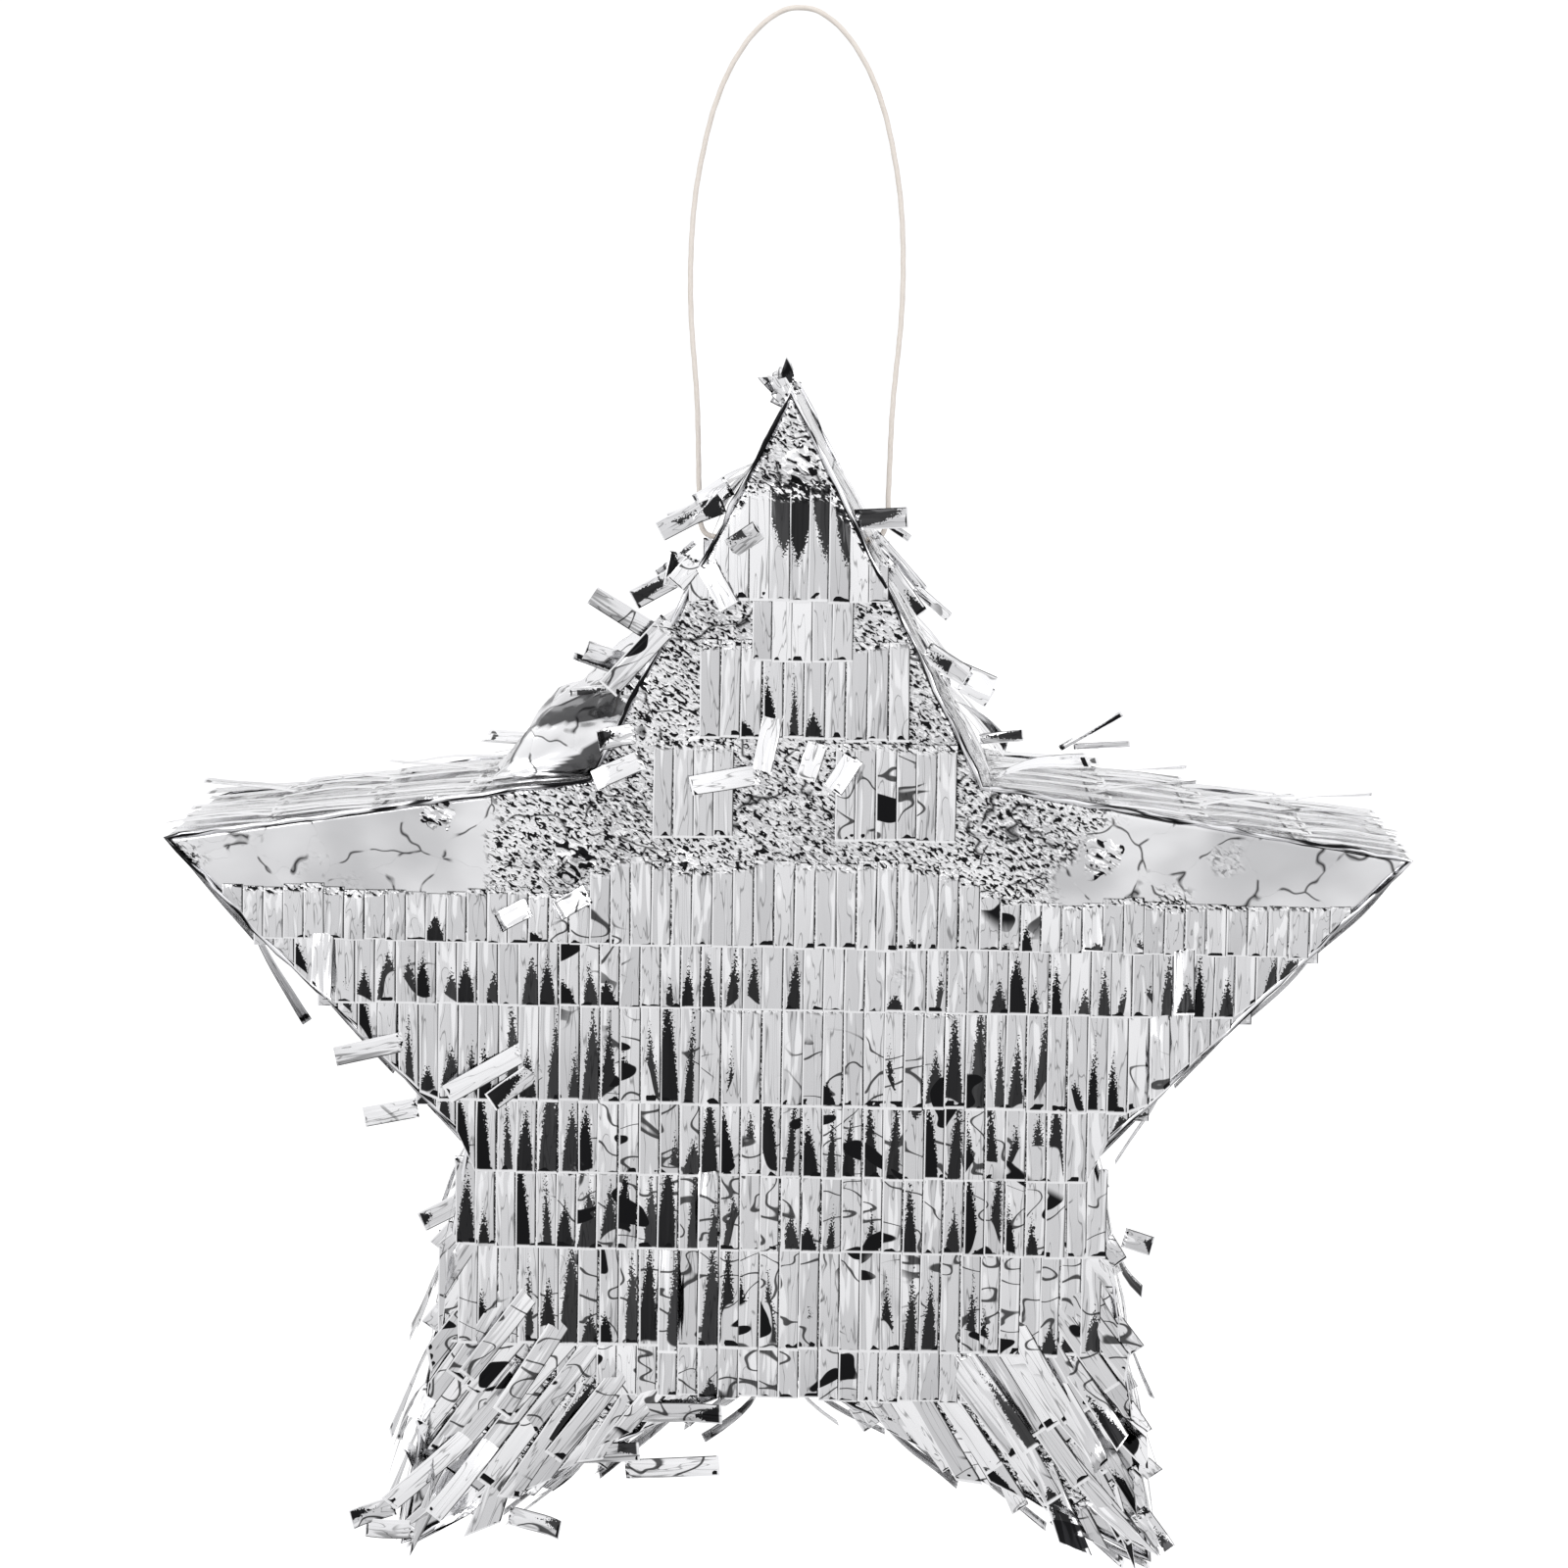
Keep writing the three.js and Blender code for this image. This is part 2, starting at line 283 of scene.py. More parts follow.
    def coordinates(self, output: str = "Object") -> Value:
        """Reads the Object coordinates, or the others named."""
        return self.out(self.add("ShaderNodeTexCoord"), output)

    def lay_bump(self, shader: bpy.types.Node, height: Value, distance: float = 1.0) -> None:
        """Feeds a height to a shader's normal.

        Args:
            shader: the shader.
            height: the height.
            distance: how many metres one unit of height is.
        """
        bump = self.add("ShaderNodeBump")
        self.fill(bump, Distance=distance, Height=height)
        self.feed(shader.inputs["Normal"], self.out(bump))


class EffectGroup:
    """A shader node group with named inputs and outputs, built once."""

    name = "effect"
    inputs: dict[str, tuple[Socket, object]] = {}
    outputs: dict[str, Socket] = {}

    def __init__(self) -> None:
        """Makes the group's interface and fills it."""
        self.group = bpy.data.node_groups.new(self.name, "ShaderNodeTree")
        for label, (kind, default) in self.inputs.items():
            socket = self.group.interface.new_socket(label, in_out="INPUT", socket_type=kind.value)
            if default is not None:
                socket.default_value = default
        for label, kind in self.outputs.items():
            self.group.interface.new_socket(label, in_out="OUTPUT", socket_type=kind.value)
        nodes = NodeTree(self.group)
        source = nodes.add("NodeGroupInput")
        given = {label: nodes.out(source, label) for label in self.inputs}
        nodes.fill(nodes.add("NodeGroupOutput"), **self.build(nodes, given))

    def build(self, nodes: NodeTree, given: dict[str, Value]) -> dict[str, Value]:
        """Fills the group.

        Args:
            nodes: the group's tree.
            given: the group's inputs, by name.

        Returns:
            What each of its outputs gives, by name.
        """
        raise NotImplementedError

    def place(self, nodes: NodeTree, **values: object) -> dict[str, Value]:
        """Puts the group in a material.

        Args:
            nodes: the material's tree.
            **values: what feeds each input, with _ for a space.

        Returns:
            The group's outputs, by name.
        """
        node = nodes.add("ShaderNodeGroup", node_tree=self.group)
        nodes.fill(node, **values)
        return {label: nodes.out(node, label) for label in self.outputs}


class WormCrinkle(EffectGroup):
    """Short slanted wrinkles in patches, with painted shade on one flank and a painted highlight on the
    other.
    """

    name = "worm_crinkle"
    inputs = {
        "Vector": (Socket.DIRECTION, None),
        "Pitch": (Socket.NUMBER, 0.0012),
        "Cover": (Socket.NUMBER, 0.5),
    }
    outputs = {"Stroke": Socket.NUMBER, "Glint": Socket.NUMBER, "Height": Socket.NUMBER}

    def build(self, nodes: NodeTree, given: dict[str, Value]) -> dict[str, Value]:
        """Stretches fine noise along a slant and keeps it to patches."""
        slant = nodes.add("ShaderNodeMapping", vector_type="TEXTURE")
        nodes.fill(slant, Vector=given["Vector"], Rotation=(0.25, 0.5, 0.3), Scale=(2.3, 1.2, 1.0))
        fine = nodes.noise(nodes.scaled(nodes.out(slant), 1.0 / given["Pitch"]), 1.0, 1.5, 0.7)
        gate = (nodes.noise(given["Vector"], 34.0, 4.0) + given["Cover"]).remap(0.98, 1.1)
        return {
            # The first mask is painted shade on one flank of each wrinkle, the second a painted highlight on
            # the other; the height is their real relief.
            "Stroke": fine.remap(0.55, 0.575) * gate,
            "Glint": fine.remap(0.46, 0.39) * gate,
            "Height": (fine - 0.5) * gate,
        }


class FoldLines(EffectGroup):
    """Thin broken fold lines, as film keeps once it was creased, with painted shade along each line."""

    name = "fold_lines"
    inputs = {
        "Vector": (Socket.DIRECTION, None),
        "Size": (Socket.NUMBER, 60.0),
        "Width": (Socket.NUMBER, 0.02),
        "Share": (Socket.NUMBER, 0.5),
    }
    outputs = {"Line": Socket.NUMBER, "Facet": Socket.NUMBER}

    def build(self, nodes: NodeTree, given: dict[str, Value]) -> dict[str, Value]:
        """Draws the edges of stirred cells and rubs most of them out."""
        vector, size, middle = given["Vector"], given["Size"], (0.5, 0.5, 0.5)
        stirred = nodes.vector_math("SUBTRACT", nodes.noise(vector, size * 1.3, output="Color"), middle)
        where = nodes.vector_math("ADD", vector, nodes.scaled(stirred, 0.9 / size))
        edge = nodes.out(nodes.voronoi(where, size, "DISTANCE_TO_EDGE"), "Distance")
        near = (1.0 - edge / given["Width"]).clamped()
        kept = (nodes.noise(vector, size * 2.4, 1.0) + given["Share"]).remap(1.0, 1.06)
        cells = nodes.voronoi(where, size)
        offset = nodes.vector_math("SUBTRACT", where, nodes.out(cells, "Position"))
        lean = nodes.vector_math("SUBTRACT", nodes.out(cells, "Color"), middle)
        facet = nodes.vector_math("DOT_PRODUCT", offset, lean, output="Value")
        # The line mask is painted shade along the folds; the facets tilt the cells for the bump.
        return {"Line": near * kept, "Facet": facet}


class PaperFibre(EffectGroup):
    """Short fibres, flecks and soft blotches of brown paper and card."""

    name = "paper_fibre"
    inputs = {
        "Vector": (Socket.DIRECTION, None),
        "Scale": (Socket.NUMBER, 900.0),
        "Light": (Socket.COLOUR, (0.7, 0.55, 0.38, 1.0)),
        "Dark": (Socket.COLOUR, (0.5, 0.37, 0.24, 1.0)),
    }
    outputs = {"Colour": Socket.COLOUR, "Height": Socket.NUMBER}

    def build(self, nodes: NodeTree, given: dict[str, Value]) -> dict[str, Value]:
        """Stretches noise into fibres, and adds blotches under them."""
        stretched = nodes.vector_math("MULTIPLY", given["Vector"], (1.0, 0.25, 0.12))
        fibres = nodes.noise(stretched, given["Scale"], 4.0, 0.6)
        blotches = nodes.noise(given["Vector"], given["Scale"] * 0.05)
        shade = (fibres * 0.7 + blotches * 0.3).remap(0.35, 0.65)
        return {"Colour": nodes.layered(given["Dark"], (shade, given["Light"])), "Height": fibres}


class Effects:
    """The effect groups that the finishes share."""

    def __init__(self) -> None:
        """Builds each group once."""
        self.worm, self.folds, self.fibre = WormCrinkle(), FoldLines(), PaperFibre()


# ---------------------------------------------------------------- finishes

Colour = tuple[float, float, float, float]
# Near black laid into a foil's colour: painted shade in creases and gaps, painted shadows near free ends and
# painted dark reflections.
PAINTED_SHADE = (0.012, 0.012, 0.013, 1.0)
# Near white laid into a foil's colour: painted highlights and painted bright reflections, and the white band
# on the flap sheet.
PAINTED_WHITE = (0.99, 0.99, 1.0, 1.0)


def start_material(name: str) -> tuple[bpy.types.Material, NodeTree, bpy.types.Node]:
    """Makes an empty material with a Principled shader.

    Args:
        name: the material's name.

    Returns:
        The material, its node tree and the shader.
    """
    material = bpy.data.materials.new(name)
    material.use_nodes = True
    material.node_tree.nodes.clear()
    nodes = NodeTree(material.node_tree)
    shader = nodes.add("ShaderNodeBsdfPrincipled")
    nodes.fill(nodes.add("ShaderNodeOutputMaterial"), Surface=nodes.out(shader))
    return material, nodes, shader


class Paint:
    """What every finish has in common."""

    name = "paint"

    def make(self, effects: Effects) -> bpy.types.Material:
        """Builds the material.

        Args:
            effects: the shared effect groups.

        Returns:
            The material.
        """
        material, nodes, shader = start_material(self.name)
        self.paint(nodes, shader, effects)
        return material

    def paint(self, nodes: NodeTree, shader: bpy.types.Node, effects: Effects) -> None:
        """Feeds the shader.

        Args:
            nodes: the material's tree.
            shader: its shader.
            effects: the shared effect groups.
        """
        raise NotImplementedError


@dataclass(frozen=True)
class SkinFoil(Paint):
    """Silver film glued flat over card: smooth, with patches of fine wrinkles with painted shade and
    highlights on their flanks, and a few fold lines with painted shade along them.
    """

    name: str = "skin_foil"
    bright: Colour = (0.93, 0.93, 0.94, 1.0)
    dull: Colour = (0.66, 0.66, 0.67, 1.0)
    pitch: float = 0.00078
    cover: float = 0.4
    worn_cover: float = 0.34
    wrinkle_height: float = 0.0003
    fold_size: float = 56.0
    fold_width: float = 0.03
    fold_share: float = 0.53
    facet_height: float = 0.05
    dent: float = 40.0
    dent_height: float = 0.0009
    roughness: tuple[float, float] = (0.12, 0.26)

    def paint(self, nodes: NodeTree, shader: bpy.types.Node, effects: Effects) -> None:
        """Paints the wrinkles' painted shade and highlights, the folds' painted shade and the painted
        reflections of the mark over a cloudy silver, and lays their heights.
        """
        where = nodes.coordinates()
        cover = nodes.attribute(WORN_MARK) * self.worn_cover + self.cover
        worm = effects.worm.place(nodes, Vector=where, Pitch=self.pitch, Cover=cover)
        folds = effects.folds.place(
            nodes, Vector=where, Size=self.fold_size, Width=self.fold_width, Share=self.fold_share
        )
        tone = nodes.noise(where, 30.0)
        mood = nodes.attribute(PAINTED_REFLECTION_MARK)
        colour = nodes.layered(
            self.dull,
            (tone.remap(0.35, 0.65), self.bright),
            # Painted reflections from the mark: dark above 0, white below 0; then painted shade and
            # highlights on the wrinkles and painted shade along the folds.
            (mood.clamped(), PAINTED_SHADE),
            ((mood * -1.0).clamped(), PAINTED_WHITE),
            (worm["Stroke"], PAINTED_SHADE),
            (worm["Glint"], PAINTED_WHITE),
            (folds["Line"], PAINTED_SHADE),
        )
        dents = nodes.noise(where, self.dent, 1.0, 0.5) * self.dent_height
        height = worm["Height"] * self.wrinkle_height + (folds["Facet"] * self.facet_height + dents)
        nodes.lay_bump(shader, height)
        gloss = tone.remap(0.3, 0.7, *self.roughness)
        nodes.fill(shader, Base_Color=colour, Metallic=1.0, Roughness=gloss)


@dataclass(frozen=True)
class TasselFoil(Paint):
    """Silver film cut into tassels, with creases down each one and painted dark reflections shaped as tongues
    up from the free ends.

    Its map's u counts tassels and its v runs from the heading to the free end.
    """

    name: str = "tassel_foil"
    bright: Colour = (0.86, 0.86, 0.87, 1.0)
    dull: Colour = (0.62, 0.62, 0.63, 1.0)
    pitch: float = 0.00082
    crease_height: float = 0.0003
    wrinkle_height: float = 0.0003
    roughness: tuple[float, float] = (0.07, 0.18)

    def paint(self, nodes: NodeTree, shader: bpy.types.Node, effects: Effects) -> None:
        """Paints painted shade along creases and slit edges, painted highlights and shadows at the hems, and
        painted dark reflections as tongues and mirrored outlines, over each tassel's own silver.
        """
        where = nodes.coordinates()
        counted, along, _ = nodes.separate(nodes.uv(TASSEL_MAP))
        serial, inside = nodes.math("FLOOR", counted), nodes.math("FRACT", counted)
        rise = 1.0 - along
        chance = nodes.add("ShaderNodeTexWhiteNoise", noise_dimensions="1D")
        nodes.fill(chance, W=serial)
        drawn = nodes.separate(nodes.out(chance, "Color"))
        mood = nodes.attribute(PAINTED_REFLECTION_MARK)
        reflected_tongue = self.reflected_tongue(nodes, where, inside, rise, mood, drawn)
        mirrored = self.mirrored(nodes, where, serial)

        folds = nodes.noise(nodes.combine(inside * 1.9, along * 0.8, serial * 3.7), 1.5, 1.0, 0.6)
        # Painted shade along the creases.
        crease_shade = abs(folds - 0.5).remap(0.0, 0.02, 0.55, 0.0)
        cut = along.remap(0.03, 0.12)
        # Painted shade at one slit edge and a painted highlight at the other.
        slit_shade = inside.remap(0.03, 0.08, 0.9, 0.0) * cut
        slit_highlight = inside.remap(0.9, 0.95) * cut
        # A painted highlight along the free end's hem, and just above it a wavy painted shadow where the end
        # stands over the next row.
        hem = rise.remap(0.018, 0.032, 0.9, 0.0)
        wave = nodes.noise(where, 260.0, 1.0).remap(0.45, 0.66, 0.012, 0.08)
        under = (nodes.math("LESS_THAN", rise, wave) - hem).clamped()

        cover = along.remap(0.02, 0.26, 0.66, 0.25)
        worm = effects.worm.place(nodes, Vector=where, Pitch=self.pitch, Cover=cover)
        # Over the silver: tassels painted white as painted bright reflections, painted highlights and painted
        # shade on the creases, painted shade at slit edges, a painted shadow near the free end, painted shade
        # on the wrinkles, painted dark reflections, and painted highlights on slit edges, hems and wrinkles.
        colour = nodes.layered(
            self.dull,
            (drawn[1] * 0.7 + folds * 0.4, self.bright),
            ((mood * -1.0).clamped(), PAINTED_WHITE),
            (folds.remap(0.6, 0.64, 0.0, 0.9), PAINTED_WHITE),
            (crease_shade, PAINTED_SHADE),
            (slit_shade.most(under), PAINTED_SHADE),
            (worm["Stroke"], PAINTED_SHADE),
            # Painted dark reflections: the tongues and the mirrored outlines.
            (reflected_tongue.most(mirrored), PAINTED_SHADE),
            (slit_highlight.most(hem), PAINTED_WHITE),
            (worm["Glint"], PAINTED_WHITE),
        )
        nodes.lay_bump(shader, folds * self.crease_height + worm["Height"] * self.wrinkle_height)
        gloss = drawn[0].remap(0.0, 1.0, *self.roughness)
        nodes.fill(shader, Base_Color=colour, Metallic=1.0, Roughness=gloss)

    def mirrored(self, nodes: NodeTree, where: Value, serial: Value) -> Value:
        """Masks the dark outlines and pockets that bent film mirrors, in patches and broken between tassels.

        Args:
            nodes: the material's tree.
            where: the object coordinates.
            serial: the tassel's number.

        Returns:
            The mask.
        """
        shift = nodes.combine(0.0, nodes.math("SINE", serial * 2.4) * 0.0035)
        moved = nodes.vector_math("ADD", where, shift)
        bend = nodes.noise(nodes.vector_math("MULTIPLY", moved, (0.8, 1.0, 1.25)), 74.0, 1.0, 0.4)
        outline = abs(bend - 0.5).remap(0.006, 0.014, 0.9, 0.0)
        height = nodes.separate(where)[2]
        low = height.remap(-0.25, -0.34, 0.0, 0.17)
        foot = height.remap(-0.365, -0.385, 0.0, 0.12)
        gate = (nodes.noise(where, 21.0) + low - foot).remap(0.56, 0.6)
        return outline.most(bend.remap(0.66, 0.67)) * gate

    def reflected_tongue(
        self, nodes: NodeTree, where: Value, inside: Value, rise: Value, mood: Value, drawn: list[Value]
    ) -> Value:
        """Masks the painted dark reflection on a tassel, a pointed tongue which breaks into grains at its
        tip.

        Args:
            nodes: the material's tree.
            where: the object coordinates.
            inside: the place across the tassel, from 0 to 1.
            rise: the height over the free end, from 0 to 1.
            mood: the painted dark reflection's height, as a share of the tassel's.
            drawn: three random numbers, the same all over the tassel.

        Returns:
            The mask.
        """
        upturned = nodes.math("GREATER_THAN", mood, 1.25)
        reach = (mood - upturned).most(0.001)
        share = ((rise * -2.0 + 1.0) * upturned + rise) / reach
        taper = 1.0 - nodes.math("POWER", share, 1.8)
        breadth = upturned * 0.4 + (drawn[0] * 0.36 + 0.24)
        lean = (drawn[1] - 0.5) * rise
        centre = lean * 0.5 + (drawn[2] * 0.6 + 0.2)
        grain = nodes.noise(where, 2300.0, 0.0) - 0.5
        ragged = grain * share * 0.7 + taper * breadth
        mask = (ragged - abs(inside - centre)).remap(0.0, 0.05)
        stretched = nodes.vector_math("MULTIPLY", where, (1.0, 0.4, 0.4))
        mound = nodes.noise(stretched, 62.0, 1.0).remap(0.5, 0.7, 0.02, 0.42)
        above = (rise - mound).remap(0.0, 0.02)
        present = nodes.math("GREATER_THAN", mood, 0.02) * drawn[2].remap(0.0, 1.0, 0.94, 1.0)
        return mask * above * present


@dataclass(frozen=True)
class RolledFoil(Paint):
    """Silver film rolled tight along an edge, with painted dark reflections along it; its map's u runs round
    the roll and v along it, in metres.
    """

    name: str = "rolled_foil"
    bright: Colour = (0.92, 0.92, 0.94, 1.0)

    def paint(self, nodes: NodeTree, shader: bpy.types.Node, effects: Effects) -> None:
        """Draws dark lines, painted dark reflections, over bright silver along the roll."""
        stretched = nodes.vector_math("MULTIPLY", nodes.uv(CORD_MAP), (3.0, 55.0, 0.0))
        lines = nodes.noise(stretched, 1.0, 2.0, 0.5)
        colour = nodes.layered(self.bright, (lines.remap(0.46, 0.56), PAINTED_SHADE))
        nodes.lay_bump(shader, lines, 0.0004)
        nodes.fill(shader, Base_Color=colour, Metallic=1.0, Roughness=0.16)


@dataclass(frozen=True)
class Board(Paint):
    """Brown corrugated board or card, with faint flute stripes on the board."""

    name: str = "corrugated_board"
    light: Colour = (0.60, 0.44, 0.28, 1.0)
    dark: Colour = (0.42, 0.29, 0.17, 1.0)
    flute_pitch: float = 0.0064
    flute_height: float = 0.00012

    def paint(self, nodes: NodeTree, shader: bpy.types.Node, effects: Effects) -> None:
        """Lays flutes across the fibres."""
        where = nodes.coordinates()
        paper = effects.fibre.place(nodes, Vector=where, Scale=900.0, Light=self.light, Dark=self.dark)
        phase = nodes.separate(where)[0] * (2 * math.pi / self.flute_pitch)
        flutes = nodes.math("SINE", phase) * self.flute_height
        nodes.lay_bump(shader, paper["Height"] * 0.00006 + flutes)
        nodes.fill(shader, Base_Color=paper["Colour"], Roughness=0.88)


@dataclass(frozen=True)
class PaperTape(Paint):
    """Gummed paper tape, a little shiny, with crossed threads showing through."""

    name: str = "paper_tape"
    light: Colour = (0.76, 0.62, 0.42, 1.0)
    dark: Colour = (0.62, 0.48, 0.30, 1.0)
    thread_pitch: float = 0.0048

    def paint(self, nodes: NodeTree, shader: bpy.types.Node, effects: Effects) -> None:
        """Lays threads both ways over the fibres."""
        where = nodes.coordinates()
        paper = effects.fibre.place(nodes, Vector=where, Scale=1300.0, Light=self.light, Dark=self.dark)
        turns = 2 * math.pi / self.thread_pitch
        _, *ways = nodes.separate(where)
        first, second = (nodes.math("SINE", way * turns).remap(0.9, 1.0) for way in ways)
        nodes.lay_bump(shader, paper["Height"] * 0.4 + first.most(second), 0.00008)
        nodes.fill(shader, Base_Color=paper["Colour"], Roughness=0.55)


@dataclass(frozen=True)
class SpunCord(Paint):
    """Off-white spun cord; its map's u runs round it and its v along it, in metres."""

    name: str = "spun_cord"
    light: Colour = (0.88, 0.83, 0.78, 1.0)
    dark: Colour = (0.64, 0.57, 0.50, 1.0)

    def paint(self, nodes: NodeTree, shader: bpy.types.Node, effects: Effects) -> None:
        """Draws fine fibres along each ply, and a little soiling."""
        stretched = nodes.vector_math("MULTIPLY", nodes.uv(CORD_MAP), (14.0, 900.0, 0.0))
        strands = nodes.noise(stretched, 1.0, 3.0, 0.4)
        shade = (strands * 0.7 + nodes.noise(nodes.coordinates(), 60.0) * 0.4).clamped()
        colour = nodes.layered(self.dark, (shade, self.light))
        nodes.lay_bump(shader, strands, 0.00012)
        nodes.fill(shader, Base_Color=colour, Roughness=0.72, Sheen_Weight=0.25)


class Finish(Enum):
    """Every finish on the pinata."""

    SKIN = SkinFoil()
    TASSEL = TasselFoil()
    LOOSE = SkinFoil(name="loose_foil", cover=0.28, facet_height=0.12)
    CRUSHED = SkinFoil(name="crushed_foil", pitch=0.0017, cover=0.72, wrinkle_height=0.0008)
    ROLL = RolledFoil()
    BOARD = Board()
    CARD = Board(
        name="wall_card", light=(0.66, 0.50, 0.33, 1.0), dark=(0.48, 0.34, 0.21, 1.0), flute_height=0.00002
    )
    TAPE = PaperTape()
    CORD = SpunCord()


class Wardrobe:
    """Makes each finish once and hands it out."""

    def __init__(self) -> None:
        """Builds the shared effects and every finish."""
        effects = Effects()
        self.materials = {finish: finish.value.make(effects) for finish in Finish}

    def dress(self, piece: bpy.types.Object, finish: Finish) -> None:
        """Gives a piece one finish all over.

        Args:
            piece: the piece.
            finish: which finish.
        """
        piece.data.materials.clear()
        piece.data.materials.append(self.materials[finish])


# ---------------------------------------------------------------- geometry tools


def make_object(mesh: bmesh.types.BMesh, name: str) -> bpy.types.Object:
    """Turns a bmesh into an object in the scene, shaded smooth.

    Args:
        mesh: the geometry, which is freed.
        name: the object's name.

    Returns:
        The new object.
    """
    for face in mesh.faces:
        face.smooth = True
    data = bpy.data.meshes.new(name)
    mesh.to_mesh(data)
    mesh.free()
    made = bpy.data.objects.new(name, data)
    bpy.context.scene.collection.objects.link(made)
    return made


def finish_piece(
    mesh: bmesh.types.BMesh, name: str, body: str, stands_for: str = ""
) -> bpy.types.Object:
    """Turns a bmesh into a piece that rides on a body.

    Args:
        mesh: the geometry, which is freed.
        name: the piece's name.
        body: the CAD body that carries it.
        stands_for: the CAD node that it replaces, if any.

    Returns:
        The new object.
    """
    piece = make_object(mesh, name)
    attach(piece, body)
    if stands_for:
        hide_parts(stands_for)
    LOG.info("%s: %d faces on %s", name, len(piece.data.polygons), body)
    return piece


def smoothstep(low: float, high: float, value: float) -> float:
    """Returns 0 below low, 1 above high and a smooth step between them."""
    share = min(1.0, max(0.0, (value - low) / (high - low)))
    return share * share * (3 - 2 * share)


def spread(low: float, high: float, pitch: float) -> list[float]:
    """Lists evenly spaced places between two ends, about a pitch apart."""
    count = max(1, round((high - low) / pitch))
    return [low + (i + 0.5) * (high - low) / count for i in range(count)]


@dataclass(frozen=True)
class Ground:
    """A flat face that foil is glued to, with its own directions."""

    origin: Vector
    hang: Vector
    out: Vector

    @property
    def across(self) -> Vector:
        """The direction along a row, which makes a right-handed set with hang and out."""
        return self.hang.cross(self.out)

    def place(self, across: float, down: float, out: float) -> Vector:
        """Returns the point at three distances from the origin."""
        return self.origin + self.across * across + self.hang * down + self.out * out


@dataclass
class Star:
    """The star's outline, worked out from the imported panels."""

    corner_radius: float = 87.3 * MM
    arm_count: int = 5
    tip_radius: float = field(init=False)
    centre: Vector = field(init=False)
    half_depth: float = field(init=False)

    def __post_init__(self) -> None:
        """Reads the panels' size and place from the frame."""
        low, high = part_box("front_panel")
        self.tip_radius = (high.x - low.x) / (2 * math.cos(math.pi / 10))
        self.centre = Vector((0.0, 0.0, high.z - self.tip_radius))
        self.half_depth = -low.y

    @property
    def step(self) -> float:
        """The angle from a tip to the next corner."""
        return math.pi / self.arm_count

    def outline(self, offset: float = 0.0) -> list[Vector]:
        """Gives the ten points, clockwise from the top tip, about the star's centre.

        Args:
            offset: how far every side is moved out.

        Returns:
            The points in the XZ plane.
        """
        corner_x = self.corner_radius * math.sin(self.step)
        side = math.hypot(corner_x, self.tip_radius - self.corner_radius * math.cos(self.step))
        tip = self.tip_radius + offset * side / corner_x
        corner = self.corner_radius + offset * side / (self.tip_radius * math.sin(self.step))
        radii = [corner if i % 2 else tip for i in range(2 * self.arm_count)]
        turns = [i * self.step for i in range(2 * self.arm_count)]
        return [Vector((r * math.sin(a), 0.0, r * math.cos(a))) for r, a in zip(radii, turns)]

    def holds(self, x: float, z: float, offset: float = 0.0) -> bool:
        """Says whether a point, measured from the star's centre, is inside the outline."""
        inside = False
        points = self.outline(offset)
        for a, b in zip(points, points[1:] + points[:1]):
            if (a.z > z) != (b.z > z) and x < (b.x - a.x) * (z - a.z) / (b.z - a.z) + a.x:
                inside = not inside
        return inside

    def face(self, front: bool) -> Ground:
        """Gives the front or the back face, with tassels hanging down."""
        out = Vector((0.0, -1.0 if front else 1.0, 0.0))
        return Ground(self.centre + out * self.half_depth, Vector((0.0, 0.0, -1.0)), out)

    def leg(self, front: bool, side: int) -> Ground:
        """Gives the face again, with tassels hanging along a leg."""
        face = self.face(front)
        along = Vector((side * math.sin(4 * self.step), 0.0, math.cos(4 * self.step)))
        return Ground(face.origin, along, face.out)

    def side(self, index: int) -> tuple[Ground, float]:
        """Gives one of the ten side faces, counted clockwise from the top arm's right one.

        Args:
            index: which face.

        Returns:
            The face, with its origin at its upper end, and its length.
        """
        points = self.outline()
        ends = sorted((points[index], points[(index + 1) % len(points)]), key=lambda p: -p.z)
        along = (ends[1] - ends[0]).normalized()
        out = Vector((along.z, 0.0, -along.x))
        if out.dot(ends[0]) < 0:
            out.negate()
        return Ground(self.centre + ends[0], along, out), (ends[1] - ends[0]).length


@dataclass(frozen=True)
class Tassel:
    """One strip of film: where it starts and how it hangs."""

    across: float
    start: float
    length: float
    width: float = 5.2 * MM
    base: float = 1.0 * MM
    lift: float = 0.0
    bulge: float = 0.0
    curl: float = 0.0
    curl_from: float = 0.5
    twist: float = 0.0
    sway: float = 0.0
    bow: float = 0.0
    # mood: how far the tassel's painted dark reflection reaches, or -1 to paint it white as a painted bright
    # reflection.
    mood: float = 0.0
    slants: tuple[float, float] = (0.0, 0.0)

    def angle(self, t: float) -> float:
        """The centreline's angle out of the ground, at a share of the length."""
        swell = math.cos(math.pi * min(1.0, max(0.0, (t - 0.25) / 0.45)))
        return self.lift + self.bulge * swell + self.curl * smoothstep(self.curl_from, 1.0, t)

    def crown(self, t: float) -> float:
        """How far the middle of the width stands out, at a share of the length."""
        return self.bow * math.sin(math.pi * min(1.0, t)) ** 0.8


